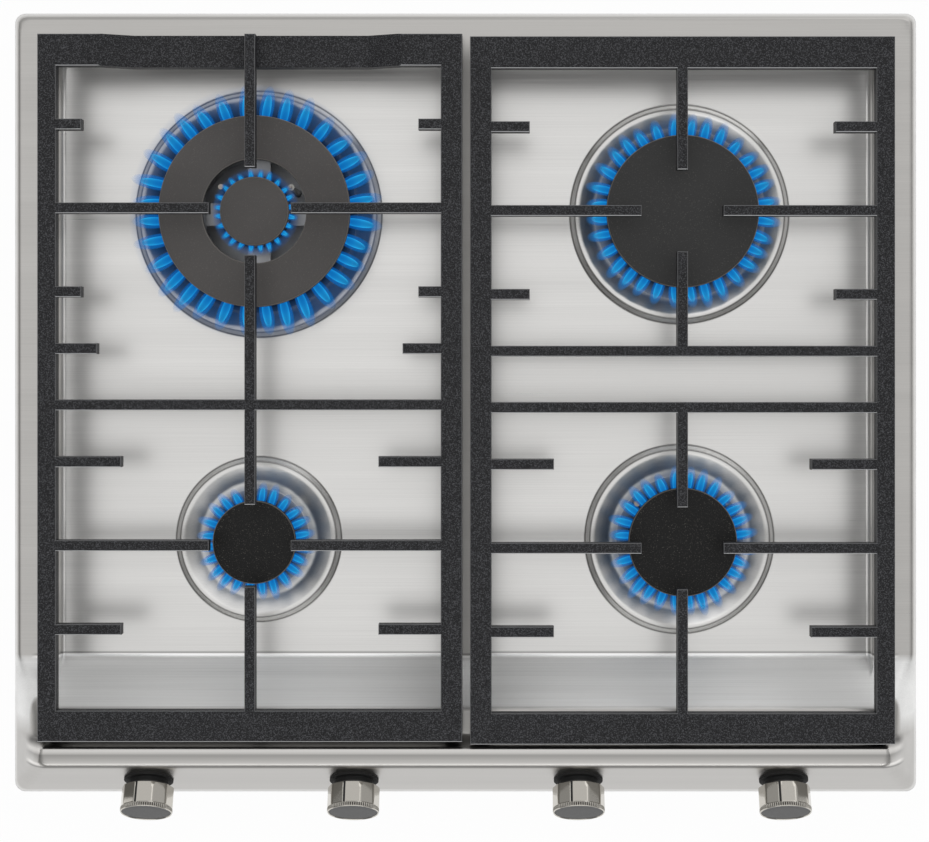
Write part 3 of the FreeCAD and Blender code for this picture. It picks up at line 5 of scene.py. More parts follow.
import bmesh
import bpy
import numpy as np
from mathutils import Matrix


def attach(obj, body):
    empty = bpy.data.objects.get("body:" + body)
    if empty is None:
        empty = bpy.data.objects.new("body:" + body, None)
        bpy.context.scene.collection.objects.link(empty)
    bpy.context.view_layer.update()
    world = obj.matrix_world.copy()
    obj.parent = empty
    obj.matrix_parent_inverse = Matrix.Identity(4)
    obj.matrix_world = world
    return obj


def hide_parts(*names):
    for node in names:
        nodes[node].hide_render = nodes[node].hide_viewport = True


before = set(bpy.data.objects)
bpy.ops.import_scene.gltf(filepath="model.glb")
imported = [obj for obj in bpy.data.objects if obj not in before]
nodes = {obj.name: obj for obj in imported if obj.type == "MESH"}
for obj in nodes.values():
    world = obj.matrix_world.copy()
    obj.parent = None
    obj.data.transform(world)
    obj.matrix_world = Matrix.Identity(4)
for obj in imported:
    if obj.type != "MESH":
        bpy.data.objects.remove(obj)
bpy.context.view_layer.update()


# Case. The tray under the plate is folded from 0.8 mm galvanised sheet, and the hold-down clamps,
# their screws and the brackets of the gas rail are pressed from the same sheet. Hot-dip zinc shows
# as pale spangles, each a crystal a few millimetres across that turns the light its own way.

MM = 0.001
SPANGLE = 7.0


def linear(colour):
    """An sRGB hex colour as linear red, green, blue and alpha."""
    channels = [int(colour[place:place + 2], 16) / 255 for place in (1, 3, 5)]
    return [c / 12.92 if c <= 0.04045 else ((c + 0.055) / 1.055) ** 2.4 for c in channels] + [1.0]


def begin_material(name, colour, **sockets):
    """A material with a Principled shader: its base colour, and its other sockets by name with _ for a
    space."""
    material = bpy.data.materials.new(name)
    material.use_nodes = True
    shader = material.node_tree.nodes["Principled BSDF"]
    shader.inputs["Base Color"].default_value = linear(colour)
    for socket, value in sockets.items():
        shader.inputs[socket.replace("_", " ")].default_value = value
    material.diffuse_color = linear(colour)
    return material, shader


def add_node(material, kind, settings=(), links=()):
    """Add one node. Settings are (name or number, value) pairs for its properties or input sockets, and links
    are (input, node, output) triples."""
    node = material.node_tree.nodes.new(kind)
    for name, value in settings:
        if isinstance(name, str) and hasattr(node, name):
            setattr(node, name, value)
        else:
            node.inputs[name].default_value = value
    for socket, source, output in links:
        material.node_tree.links.new(source.outputs[output], node.inputs[socket])
    return node


def feed(material, shader, **sockets):
    """Join outputs to the shader's sockets, each named with _ for a space and given as (node, output)."""
    for socket, (source, output) in sockets.items():
        material.node_tree.links.new(source.outputs[output], shader.inputs[socket.replace("_", " ")])


def paint(material, *names):
    """Give CAD nodes their material."""
    for name in names:
        mesh = nodes[name].data
        mesh.materials.clear()
        mesh.materials.append(material)


zinc, shader = begin_material("galvanised_steel", "#b4b8ba", Metallic=1.0, Roughness=0.42)
place = add_node(zinc, "ShaderNodeTexCoord")
crystals = add_node(zinc, "ShaderNodeTexVoronoi", [("Scale", 1000 / SPANGLE)], [("Vector", place, "Object")])
tint = add_node(zinc, "ShaderNodeValToRGB", [], [("Fac", crystals, "Color")])
tint.color_ramp.elements[0].color = linear("#9da2a5")
tint.color_ramp.elements[1].color = linear("#c6cacb")
gloss = add_node(zinc, "ShaderNodeMapRange", [("To Min", 0.34), ("To Max", 0.52)],
                 [("Value", crystals, "Color")])
feed(zinc, shader, Base_Color=(tint, "Color"), Roughness=(gloss, "Result"))
paint(zinc, "bottom_case", "hold_down_clamps", "clamp_screws", "rail_brackets")


# Gas rail and inlet. Welded steel tube, bent and then zinc plated with a yellow-grey passivation,
# which clouds a little, and a turned inlet with its half-inch thread.

rail_steel, shader = begin_material("passivated_steel_tube", "#a7a491", Metallic=1.0, Roughness=0.33)
place = add_node(rail_steel, "ShaderNodeTexCoord")
clouds = add_node(rail_steel, "ShaderNodeTexNoise", [("Scale", 90.0), ("Detail", 4.0)],
                  [("Vector", place, "Object")])
tint = add_node(rail_steel, "ShaderNodeValToRGB", [], [("Fac", clouds, "Fac")])
tint.color_ramp.elements[0].color = linear("#94917c")
tint.color_ramp.elements[1].color = linear("#bcbaa8")
feed(rail_steel, shader, Base_Color=(tint, "Color"))
paint(rail_steel, "gas_rail", "gas_inlet")


# Valves and injectors. Hot-stamped brass, machined where it seals: a slightly grainy yellow metal
# that has dulled in patches.

GRAIN = 0.6
brass, shader = begin_material("stamped_brass", "#c39a55", Metallic=1.0, Roughness=0.34)
place = add_node(brass, "ShaderNodeTexCoord")
grain = add_node(brass, "ShaderNodeTexNoise", [("Scale", 1000 / GRAIN), ("Detail", 3.0)],
                 [("Vector", place, "Object")])
dull = add_node(brass, "ShaderNodeTexNoise", [("Scale", 70.0), ("Detail", 5.0)],
                [("Vector", place, "Object")])
tint = add_node(brass, "ShaderNodeValToRGB", [], [("Fac", dull, "Fac")])
tint.color_ramp.elements[0].color = linear("#a67e42")
tint.color_ramp.elements[1].color = linear("#d0ab68")
relief = add_node(brass, "ShaderNodeBump", [("Strength", 0.3), ("Distance", 0.1 * MM)],
                  [("Height", grain, "Fac")])
feed(brass, shader, Base_Color=(tint, "Color"), Normal=(relief, "Normal"))
paint(brass, "injectors", *[f"valve_{number}" for number in (1, 2, 3, 4)])


# Pipes. Soft aluminium tube, drawn and bent cold, with faint marks from the die.

tube, shader = begin_material("drawn_aluminium_tube", "#c9cacb", Metallic=1.0, Roughness=0.3)
place = add_node(tube, "ShaderNodeTexCoord")
marks = add_node(tube, "ShaderNodeTexNoise", [("Scale", 400.0), ("Detail", 3.0)],
                 [("Vector", place, "Object")])
gloss = add_node(tube, "ShaderNodeMapRange", [("To Min", 0.22), ("To Max", 0.42)], [("Value", marks, "Fac")])
feed(tube, shader, Roughness=(gloss, "Result"))
paint(tube, *[f"{name}_pipe" for name in ("wok_ring", "wok_core", "rapid", "semi", "small")])


# Electrical pieces. The spark unit, its switches, the terminal block and the gland are moulded from
# black glass-filled nylon, whose skin has a fine spark-eroded grain.

MOULD_GRAIN = 0.5
nylon, shader = begin_material("moulded_black_nylon", "#1b1b1c", Roughness=0.55, IOR=1.53)
place = add_node(nylon, "ShaderNodeTexCoord")
grain = add_node(nylon, "ShaderNodeTexNoise", [("Scale", 1000 / MOULD_GRAIN), ("Detail", 2.0)],
                 [("Vector", place, "Object")])
gloss = add_node(nylon, "ShaderNodeMapRange", [("To Min", 0.45), ("To Max", 0.65)], [("Value", grain, "Fac")])
relief = add_node(nylon, "ShaderNodeBump", [("Strength", 0.4), ("Distance", 0.05 * MM)],
                  [("Height", grain, "Fac")])
feed(nylon, shader, Roughness=(gloss, "Result"), Normal=(relief, "Normal"))
paint(nylon, "ignition_unit", "ignition_switches", "terminal_block", "cord_gland")


# Foam seal. A strip of closed-cell EPDM foam under the rim, cut from sheet, so its sides show
# half-open cells about half a millimetre across.

CELL = 0.6
foam, shader = begin_material("closed_cell_foam", "#262626", Roughness=0.95)
place = add_node(foam, "ShaderNodeTexCoord")
cells = add_node(foam, "ShaderNodeTexVoronoi", [("Scale", 1000 / CELL)], [("Vector", place, "Object")])
# The hollows of the cells are painted darker than their walls: painted shade in the cells.
tint = add_node(foam, "ShaderNodeValToRGB", [], [("Fac", cells, "Distance")])
tint.color_ramp.elements[0].color = linear("#161616")
tint.color_ramp.elements[1].color = linear("#3a3a3a")
relief = add_node(foam, "ShaderNodeBump", [("Strength", 0.6), ("Distance", 0.2 * MM)],
                  [("Height", cells, "Distance")])
feed(foam, shader, Base_Color=(tint, "Color"), Normal=(relief, "Normal"))
paint(foam, "rim_seal")


# Top plate. One sheet of 0.8 mm stainless steel, deep drawn: a rim with sloped sides, two wells, a
# raised ring round each burner, and the front housing with its shelf, lip and fascia. It is brushed
# from side to side before pressing, so fine streaks run along X. Painted highlights and painted shade
# lie in bright and dark lines along its bends, with a painted shadow under the grates' front rail.
# The well floors are painted lighter than the rim, and the face in front of the wells is painted pale
# as a painted light and is also duller.

GAUGE = 0.8
HALF_WIDTH, HALF_DEPTH, CORNER = 300.0, 259.0, 7.0
EDGE_SLOPE = math.tan(math.radians(61.8))
RIM, WELL_FLOOR, CUP_SEAT = 6.0, -4.0, -3.0
LIP_TOP, SHELF_TOP, CHEEK_TOP = 46.5, 27.0, 32.0
LIP_FRONT = -HALF_DEPTH + LIP_TOP / EDGE_SLOPE
LIP_BACK = LIP_FRONT + 12.5
SHELF_FRONT = LIP_BACK + 4.7
SHELF_BACK = SHELF_FRONT + 16.5
RAMP_FOOT = SHELF_BACK + SHELF_TOP - RIM
WELL_FRONT = SHELF_BACK + SHELF_TOP - WELL_FLOOR
CHEEK_FOOT, CHEEK_SLOPE, CHEEK_END = RAMP_FOOT + 5, 26 / 21.3, 275.0
WELLS = ((-270.0, -5.0), (9.0, 270.0))
WELL_BACK, WELL_CORNER, WELL_FILLET = 232.0, 7.0, 3.0
RING_RISE, RING_FLANK, RING_CREST, DISH = 4.0, 3.0, 3.0, 10.0
BURNERS = {
    "wok": {"centre": (-138.0, 125.6), "boss": 82.0, "hole": 51.0, "square": 88.0},
    "rapid": {"centre": (142.6, 125.6), "boss": 73.0, "hole": 37.0, "square": 80.0},
    "semi": {"centre": (142.6, -91.2), "boss": 63.0, "hole": 27.0, "square": 70.0},
    "small": {"centre": (-138.0, -91.2), "boss": 55.0, "hole": 21.0, "square": 62.0},
}


def soft_min(a, b, bend):
    """The lower of two heights, with the crease rounded: where they differ by less than the bend, it lies
    lower by the square of what is missing to the bend, over four bends."""
    near = np.maximum(bend - np.abs(a - b), 0)
    return np.minimum(a, b) - near * near / (4 * bend)


def soft_max(a, b, bend):
    """The higher of two heights, with the crease rounded in the same way."""
    return -soft_min(-a, -b, bend)


def ease(t):
    """A smooth step: 3 t^2 - 2 t^3 between 0 and 1."""
    t = np.clip(t, 0, 1)
    return t * t * (3 - 2 * t)


def inset(across, back, radius):
    """How far a point lies inside a rectangle whose corners keep one radius at every depth: the lesser of its
    distances to the two nearest sides, and near a corner (sum - 2 r + sqrt(2 r^2 - difference^2)) / 2."""
    apart = across - back
    round_part = (across + back - 2 * radius + np.sqrt(np.maximum(2 * radius ** 2 - apart ** 2, 0))) / 2
    return np.where(np.abs(apart) < radius, round_part, np.minimum(across, back))


def plate_height(x, y):
    """Height of the sheet: the rim, ramp, shelf and lip joined as rounded highest and lowest of straight
    slopes, cut off by the sloped sides, and inside each well dropped to the floor."""
    ramp = RIM + RAMP_FOOT - y
    riser = SHELF_TOP + (SHELF_FRONT - y) * (LIP_TOP - SHELF_TOP) / (SHELF_FRONT - LIP_BACK)
    lip = soft_min(np.full_like(y, LIP_TOP), riser, 5)
    shelf = soft_min(np.full_like(y, SHELF_TOP), ramp, 2)
    deck = soft_max(soft_max(np.full_like(y, RIM), shelf, 4), lip, 5)
    cheek_ramp = RIM + (CHEEK_FOOT - y) * CHEEK_SLOPE
    cheek = soft_min(np.full_like(y, CHEEK_TOP), cheek_ramp, 12)
    cheek = soft_max(soft_max(np.full_like(y, RIM), cheek, 9), lip, 5)
    top = deck + (cheek - deck) * ease((np.abs(x) - CHEEK_END + 0.8) / 1.6)
    sides = inset(HALF_WIDTH - np.abs(x), HALF_DEPTH - np.abs(y), CORNER) * EDGE_SLOPE
    swept = ease((np.abs(x) - 270) / 6) * ease((y + 232) / 14) * ease((-165 - y) / 20)
    height = soft_min(top, sides, 4 + 16 * swept)
    floor = soft_max(soft_max(np.full_like(y, WELL_FLOOR), shelf, 2), lip, 5)
    for left, right in WELLS:
        inside = inset(np.minimum(x - left, right - x), WELL_BACK - y, WELL_CORNER)
        short = np.clip(WELL_FILLET - inside, 0, WELL_FILLET)
        bottom = floor + WELL_FILLET - np.sqrt(WELL_FILLET ** 2 - short ** 2)
        height += (np.minimum(height, bottom) - height) * ease((inside + 0.5) / 1.1)
    return height


def lines(start, stop, pitch, marks, exact):
    """Positions of grid lines: some exact ones, with others at one pitch and closer ones from, to and at a
    step of each mark wherever they keep clear of their neighbours."""
    parts = [np.arange(start, stop + pitch / 2, pitch)]
    parts += [np.arange(low, high + step / 2, step) for low, high, step in marks]
    every = np.unique(np.round(np.concatenate(parts), 3))
    every = every[(every >= start) & (every <= stop)]
    every = every[np.concatenate([[True], np.diff(every) > 0.2])]
    exact = np.concatenate([[start, stop], exact])
    free = np.abs(every[:, None] - exact[None, :]).min(axis=1) > 0.3
    return np.unique(np.concatenate([every[free], exact]))


def quads(rows, columns, closed=False):
    """Corner numbers of the faces of a grid of points, row by row; a closed grid joins its last column to its
    first."""
    row = np.arange(rows - 1)[:, None]
    column = np.arange(columns if closed else columns - 1)[None, :]
    after = (column + 1) % columns
    here, above = row * columns, (row + 1) * columns
    return np.stack([here + column, here + after, above + after, above + column], axis=-1).reshape(-1, 4)


def new_piece(name, points, faces, material, flip=False, painted_light=()):
    """A smooth mesh object at the origin from points in millimetres, with doubles merged, and with the
    painted light and shade at each point as its attribute."""
    mesh = bpy.data.meshes.new(name)
    faces = faces[:, ::-1] if flip else faces
    mesh.from_pydata((points.reshape(-1, 3) * MM).tolist(), [], faces.tolist())
    if len(painted_light):
        mesh.attributes.new("painted_light", "FLOAT", "POINT").data.foreach_set("value", painted_light)
    shape = bmesh.new()
    shape.from_mesh(mesh)
    bmesh.ops.remove_doubles(shape, verts=shape.verts, dist=0.002 * MM)
    shape.to_mesh(mesh)
    shape.free()
    mesh.shade_smooth()
    mesh.materials.append(material)
    piece = bpy.data.objects.new(name, mesh)
    bpy.context.scene.collection.objects.link(piece)
    return piece


def thicken(piece, thickness, offset):
    """Give a skin its wall."""
    wall = piece.modifiers.new("sheet", "SOLIDIFY")
    wall.thickness = thickness * MM
    wall.offset = offset
    return piece


def ring_height(radius, boss, hole):
    """Height of a burner's raised ring: straight flank, crest, dish and seat, averaged over 1.6 mm to round
    the bends."""
    step, spread = 0.1, 16
    fine = np.arange(hole - 4, boss + 6, step)
    crest = boss - RING_FLANK - RING_CREST
    height = np.interp(fine, [hole, crest - DISH, crest, boss - RING_FLANK, boss],
                       [CUP_SEAT, CUP_SEAT, WELL_FLOOR + RING_RISE, WELL_FLOOR + RING_RISE, WELL_FLOOR])
    padded = np.pad(height, spread // 2, mode="edge")
    rounded = np.convolve(padded, np.ones(spread) / spread, mode="same")
    return np.interp(radius, fine, rounded[spread // 2:-spread // 2])


PALE_BACK, PALE_FRONT = (-167.0, -172.0), (-217.0, -205.0)
# Bright and dark painted lines along the bends: painted highlights and painted shade. The dark line just
# behind the lip is a painted shadow under the grates' front rail.
PAINTED_BEND_LINES = (
    (LIP_FRONT + 1.6, 1.1, 1.0), (LIP_FRONT - 0.3, 0.5, -0.9),
    (LIP_BACK - 1.8, 1.6, 0.5), (LIP_BACK - 4.8, 0.7, -0.4), (LIP_BACK + 2.6, 2.2, -1.0),
    (WELL_FRONT + 1.0, 0.8, 0.9), (WELL_FRONT + 2.4, 0.7, -0.8),
)


def plate_painted_light(x, y):
    """Painted highlights and painted shade along the sheet's bends, from side to side, bright above 0 and
    dark
    below it: along each line at y0, strength exp(-((y - y0) / width)^2)."""
    marks = sum(strength * np.exp(-((y - middle) / width) ** 2) for middle, width, strength in PAINTED_BEND_LINES)
    return marks * ease((288 - np.abs(x)) / 6)


def ring_painted_light(radius, turn, boss):
    """The same painted light on a burner's ring: a painted dark line at its foot and inside its crest, and a
    painted bright one between them. Across the dish lie fans of painted highlight and shade, as
    cos(2 (a - 85 deg)) + cos(5 a) / 2, where the brushing runs straight across it."""
    lines = (1.0 * np.exp(-((radius - boss + 1.5) / 0.9) ** 2) - np.exp(-((radius - boss - 0.1) / 0.5) ** 2)
             - 0.9 * np.exp(-((radius - boss + 3.2) / 0.5) ** 2))
    painted_fans = 0.4 * (np.cos(2 * turn - math.radians(170)) + 0.5 * np.cos(5 * turn))
    return lines + painted_fans * ease((boss - 4 - radius) / 3) * ease((radius - boss + 18) / 4)


def plate_skin():
    """Points, faces and painted light of the sheet. Its grid is x, y with z from plate_height, its four
    corners drawn in to a quarter circle by p max(|p|) / length(p). A square round each burner is left out,
    and filled by rings (radius, angle) whose last rows run straight out to the square's own points."""
    x = lines(-HALF_WIDTH, HALF_WIDTH, 5.5, [
        (-300, -294, 0.8), (-294, -276, 3), (-276.2, -273.8, 0.4), (-271, -266, 0.45), (-9, -4, 0.45),
        (8, 13, 0.45), (266, 271, 0.45), (273.8, 276.2, 0.4), (276, 294, 3), (294, 300, 0.8),
    ], [b["centre"][0] + side * b["square"] for b in BURNERS.values() for side in (-1, 1)])
    y = lines(-HALF_DEPTH, HALF_DEPTH, 5.5, [
        (-259, -254, 0.9), (-254, -238, 3), (-237, -231, 0.6), (-226.5, -221, 0.5), (-220, -214, 0.6),
        (-204, -197, 0.6), (-183, -176, 0.8), (-173, -165, 0.5), (228, 233, 0.45), (253, 259, 0.7),
    ], [b["centre"][1] + side * b["square"] for b in BURNERS.values() for side in (-1, 1)])
    across, back = np.meshgrid(x, y)
    a = np.maximum(np.abs(across) - (HALF_WIDTH - CORNER), 0)
    b = np.maximum(np.abs(back) - (HALF_DEPTH - CORNER), 0)
    draw = np.where(a * b > 0, np.maximum(a, b) / np.maximum(np.hypot(a, b), 1e-9), 1)
    px = np.where(a * b > 0, np.sign(across) * (HALF_WIDTH - CORNER + a * draw), across)
    py = np.where(a * b > 0, np.sign(back) * (HALF_DEPTH - CORNER + b * draw), back)
    points = [np.stack([px, py, plate_height(px, py)], axis=-1).reshape(-1, 3)]
    painted_light = [plate_painted_light(px, py).reshape(-1)]
    faces = quads(len(y), len(x))
    middle = points[0][faces].mean(axis=1)
    kept = np.ones(len(faces), bool)
    count = len(points[0])
    patches = []
    for burner in BURNERS.values():
        cx, cy = burner["centre"]
        half = burner["square"]
        kept &= np.maximum(np.abs(middle[:, 0] - cx), np.abs(middle[:, 1] - cy)) > half
        side_x = x[(x > cx - half - 0.01) & (x < cx + half + 0.01)]
        side_y = y[(y > cy - half - 0.01) & (y < cy + half + 0.01)]
        square = np.concatenate([
            np.stack([side_x[:-1], np.full(len(side_x) - 1, cy - half)], axis=1),
            np.stack([np.full(len(side_y) - 1, cx + half), side_y[:-1]], axis=1),
            np.stack([side_x[:0:-1], np.full(len(side_x) - 1, cy + half)], axis=1),
            np.stack([np.full(len(side_y) - 1, cx - half), side_y[:0:-1]], axis=1)]) - (cx, cy)
        turn = np.arctan2(square[:, 1], square[:, 0])
        boss, hole = burner["boss"], burner["hole"]
        radii = np.concatenate([
            np.linspace(hole, boss - 17, 4)[:-1], np.arange(boss - 17, boss - 14, 0.9),
            np.linspace(boss - 14, boss - 8, 4)[:-1], np.arange(boss - 8, boss + 2.2, 0.4)])
        rings = radii[:, None, None] * np.stack([np.cos(turn), np.sin(turn)], axis=1)[None]
        share = np.linspace(0, 1, 4)[1:, None, None]
        rings = np.concatenate([rings, rings[-1:] * (1 - share) + square[None] * share])
        level = np.full(rings.shape[:2], WELL_FLOOR)
        level[:len(radii)] = ring_height(radii, boss, hole)[:, None]
        marks = np.zeros(rings.shape[:2])
        marks[:len(radii)] = ring_painted_light(radii[:, None], turn[None, :], boss)
        painted_light.append(marks.reshape(-1))
        patches.append(quads(len(rings), len(turn), closed=True)[:, ::-1] + count)
        points.append(np.dstack([rings[..., 0] + cx, rings[..., 1] + cy, level]).reshape(-1, 3))
        count += rings.shape[0] * rings.shape[1]
    return np.concatenate(points), np.concatenate([faces[kept]] + patches), np.concatenate(painted_light)


STREAK = 0.5
stainless, shader = begin_material("brushed_stainless_steel", "#b8b6b2", Metallic=1.0, Roughness=0.3)
place = add_node(stainless, "ShaderNodeTexCoord")
along = add_node(stainless, "ShaderNodeMapping", [("Scale", (9.0, 1000 / STREAK, 1000 / STREAK))],
                 [("Vector", place, "Object")])
streaks = add_node(stainless, "ShaderNodeTexNoise", [("Scale", 1.0), ("Detail", 3.0)],
                   [("Vector", along, "Vector")])
bands = add_node(stainless, "ShaderNodeMapping", [("Scale", (1.6, 70.0, 70.0))],
                 [("Vector", place, "Object")])
waves = add_node(stainless, "ShaderNodeTexNoise", [("Scale", 1.0), ("Detail", 2.0)],
                 [("Vector", bands, "Vector")])
spot = add_node(stainless, "ShaderNodeSeparateXYZ", [], [("Vector", place, "Object")])
# Everything below the rim, the well floors and burner rings, is painted lighter than the rim and front
# housing: painted light on one sheet.
painted_light_in_well = add_node(stainless, "ShaderNodeMapRange",
                   [("From Min", (RIM - 0.8) * MM), ("From Max", (RIM - 4.0) * MM)], [("Value", spot, "Z")])
base = add_node(stainless, "ShaderNodeMix",
                [("data_type", "RGBA"), (6, linear("#bcbab7")), (7, linear("#dddcda"))],
                [(0, painted_light_in_well, "Result")])
past_well = add_node(stainless, "ShaderNodeMapRange",
                     [("From Min", PALE_BACK[0] * MM), ("From Max", PALE_BACK[1] * MM)],
                     [("Value", spot, "Y")])
below_shelf = add_node(stainless, "ShaderNodeMapRange",
                       [("From Min", (SHELF_TOP - 0.5) * MM), ("From Max", (SHELF_TOP - 2.5) * MM)],
                       [("Value", spot, "Z")])
past_riser = add_node(stainless, "ShaderNodeMapRange",
                      [("From Min", PALE_FRONT[0] * MM), ("From Max", PALE_FRONT[1] * MM)],
                      [("Value", spot, "Y")])
painted_light_and_dull_ramp = add_node(stainless, "ShaderNodeMath", [("operation", "MULTIPLY")],
                     [(0, past_well, "Result"), (1, below_shelf, "Result")])
painted_light_and_dull_ramp = add_node(stainless, "ShaderNodeMath", [("operation", "MULTIPLY")],
                     [(0, painted_light_and_dull_ramp, "Value"), (1, past_riser, "Result")])
# The face in front of the wells is painted near white, a painted light on its slope. Below, the same mask
# also makes it duller.
base = add_node(stainless, "ShaderNodeMix", [("data_type", "RGBA"), (7, linear("#fbfbfa"))],
                [(0, painted_light_and_dull_ramp, "Value"), (6, base, 2)])
fine = add_node(stainless, "ShaderNodeMapRange", [("To Min", 0.88), ("To Max", 1.1)],
                [("Value", streaks, "Fac")])
broad = add_node(stainless, "ShaderNodeMapRange", [("To Min", 0.9), ("To Max", 1.08)],
                 [("Value", waves, "Fac")])
both = add_node(stainless, "ShaderNodeMath", [("operation", "MULTIPLY")],
                [(0, fine, "Result"), (1, broad, "Result")])
# The painted highlights and painted shade along the bends scale the colour, from 0.25 to 1.75 times.
painted_light = add_node(stainless, "ShaderNodeAttribute", [("attribute_name", "painted_light")])
painted_light_scale = add_node(stainless, "ShaderNodeMapRange",
                [("From Min", -1.0), ("From Max", 1.0), ("To Min", 0.25), ("To Max", 1.75)],
                [("Value", painted_light, "Fac")])
grain_and_painted_light = add_node(stainless, "ShaderNodeMath", [("operation", "MULTIPLY")],
                  [(0, both, "Value"), (1, painted_light_scale, "Result")])
shade = add_node(stainless, "ShaderNodeVectorMath", [("operation", "SCALE")],
                 [("Vector", base, 2), ("Scale", grain_and_painted_light, "Value")])
gloss = add_node(stainless, "ShaderNodeMapRange", [("To Min", 0.24), ("To Max", 0.38)],
                 [("Value", streaks, "Fac")])
matter = add_node(stainless, "ShaderNodeMath", [("operation", "MULTIPLY_ADD"), (1, 0.28)],
                  [(0, painted_light_and_dull_ramp, "Value"), (2, gloss, "Result")])
relief = add_node(stainless, "ShaderNodeBump", [("Strength", 0.25), ("Distance", 0.02 * MM)],
                  [("Height", streaks, "Fac")])
feed(stainless, shader, Base_Color=(shade, "Vector"), Roughness=(matter, "Value"), Normal=(relief, "Normal"))
points, faces, painted_light = plate_skin()
plate = thicken(new_piece("pressed_plate", points, faces, stainless, painted_light=painted_light), GAUGE, -1)
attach(plate, "hob_body")
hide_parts("top_plate")


# Burner cups and flame crowns. Die-cast aluminium, tumbled and left bare: a pale grey metal with a
# fine sandy skin, darker in random patches where heat has touched it.

CAST_GRAIN = 0.5
cast, shader = begin_material("die_cast_aluminium", "#bfc0c2", Metallic=1.0, Roughness=0.42)
place = add_node(cast, "ShaderNodeTexCoord")
sand = add_node(cast, "ShaderNodeTexNoise", [("Scale", 1000 / CAST_GRAIN), ("Detail", 3.0)],
                [("Vector", place, "Object")])
heat = add_node(cast, "ShaderNodeTexNoise", [("Scale", 60.0), ("Detail", 4.0)], [("Vector", place, "Object")])
tint = add_node(cast, "ShaderNodeValToRGB", [], [("Fac", heat, "Fac")])
tint.color_ramp.elements[0].color = linear("#a3a4a6")
tint.color_ramp.elements[1].color = linear("#d2d3d5")
relief = add_node(cast, "ShaderNodeBump", [("Strength", 0.35), ("Distance", 0.06 * MM)],
                  [("Height", sand, "Fac")])
feed(cast, shader, Base_Color=(tint, "Color"), Normal=(relief, "Normal"))
paint(cast, *[f"{name}_burner_cup" for name in BURNERS])
paint(cast, "wok_ring_flame_crown", "wok_core_flame_crown",
      *[f"{name}_flame_crown" for name in ("rapid", "semi", "small")])


# Spark plugs and flame probes. A glazed white alumina rod holds each spark electrode; the tip of
# the electrode and the probe beside it are nickel-chromium wire and tube, blued by the flame.

ceramic, shader = begin_material("glazed_alumina", "#e9e6dc", Roughness=0.18, IOR=1.6, Coat_Weight=0.5)
place = add_node(ceramic, "ShaderNodeTexCoord")
soot = add_node(ceramic, "ShaderNodeTexNoise", [("Scale", 260.0), ("Detail", 4.0)],
                [("Vector", place, "Object")])
tint = add_node(ceramic, "ShaderNodeValToRGB", [], [("Fac", soot, "Fac")])
tint.color_ramp.elements[0].color = linear("#d8d3c4")
tint.color_ramp.elements[1].color = linear("#f2f0ea")
feed(ceramic, shader, Base_Color=(tint, "Color"))
paint(ceramic, "spark_plugs")
wire, shader = begin_material("heat_tinted_nickel_alloy", "#8d8b88", Metallic=1.0, Roughness=0.3)
place = add_node(wire, "ShaderNodeTexCoord")
oxide = add_node(wire, "ShaderNodeTexNoise", [("Scale", 180.0), ("Detail", 3.0)],
                 [("Vector", place, "Object")])
tint = add_node(wire, "ShaderNodeValToRGB", [], [("Fac", oxide, "Fac")])
tint.color_ramp.elements[0].color = linear("#6f7483")
tint.color_ramp.elements[1].color = linear("#a89c8a")
feed(wire, shader, Base_Color=(tint, "Color"))
paint(wire, "spark_tips", "flame_probes")


# Burner caps. Pressed steel discs, and for the wok burner a ring and a small disc, coated in matt
# black vitreous enamel that is fired on. The edge is rolled over, and the enamel pulls thin there,
# so a pale brownish line shows along it, partly thin enamel and partly a painted highlight; the coat
# has a sandy sparkle.

CROWN_TOP, CAP_EDGE, CAP_CROWN, ROLL = 19.0, 24.0, 0.8, 1.4
CAP_RING, RING_WALL = 2.6, 2.0


def rounded_profile(corners, roll, steps=5):
    """A profile of (radius, height) corners, each rounded by a curve p0 (1-t)^2 + 2 p1 t (1-t) + p2 t^2."""
    corners = np.array(corners, float)
    back = corners[:-2] - corners[1:-1]
    ahead = corners[2:] - corners[1:-1]
    reach = np.minimum(roll, 0.45 * np.minimum(np.hypot(*back.T), np.hypot(*ahead.T)))[:, None]
    start = corners[1:-1] + back / np.hypot(*back.T)[:, None] * reach
    stop = corners[1:-1] + ahead / np.hypot(*ahead.T)[:, None] * reach
    t = np.linspace(0, 1, steps)[None, :, None]
    curve = start[:, None] * (1 - t) ** 2 + 2 * corners[1:-1, None] * t * (1 - t) + stop[:, None] * t * t
    return np.concatenate([corners[:1], curve.reshape(-1, 2), corners[-1:]])


def turned_skin(profile, centre, steps=144):
    """A profile (r, z) turned about an upright axis: x = cx + r cos a, y = cy + r sin a."""
    turn = np.linspace(0, 2 * np.pi, steps, endpoint=False)[None, :]
    radius, height = profile[:, :1], profile[:, 1:]
    points = np.dstack([centre[0] + radius * np.cos(turn), centre[1] + radius * np.sin(turn),
                        height + 0 * turn])
    return points, quads(len(profile), steps, closed=True)


def skin_lean(material):
    """The three parts of the direction that the skin faces."""
    skin = add_node(material, "ShaderNodeNewGeometry")
    return add_node(material, "ShaderNodeSeparateXYZ", [], [("Vector", skin, "Normal")])


def thin_enamel_and_edge_highlight(material, lean, share):
    """A share on rounded top edges, where the skin leans between two slopes, and nothing elsewhere; it paints
    a pale highlight along the edges.
    """
    upper = add_node(material, "ShaderNodeMapRange", [("From Min", 0.92), ("From Max", 0.8)],
                     [("Value", lean, "Z")])
    lower = add_node(material, "ShaderNodeMapRange",
                     [("From Min", 0.2), ("From Max", 0.4), ("To Max", share)],
                     [("Value", lean, "Z")])
    return add_node(material, "ShaderNodeMath", [("operation", "MULTIPLY")],
                    [(0, upper, "Result"), (1, lower, "Result")])


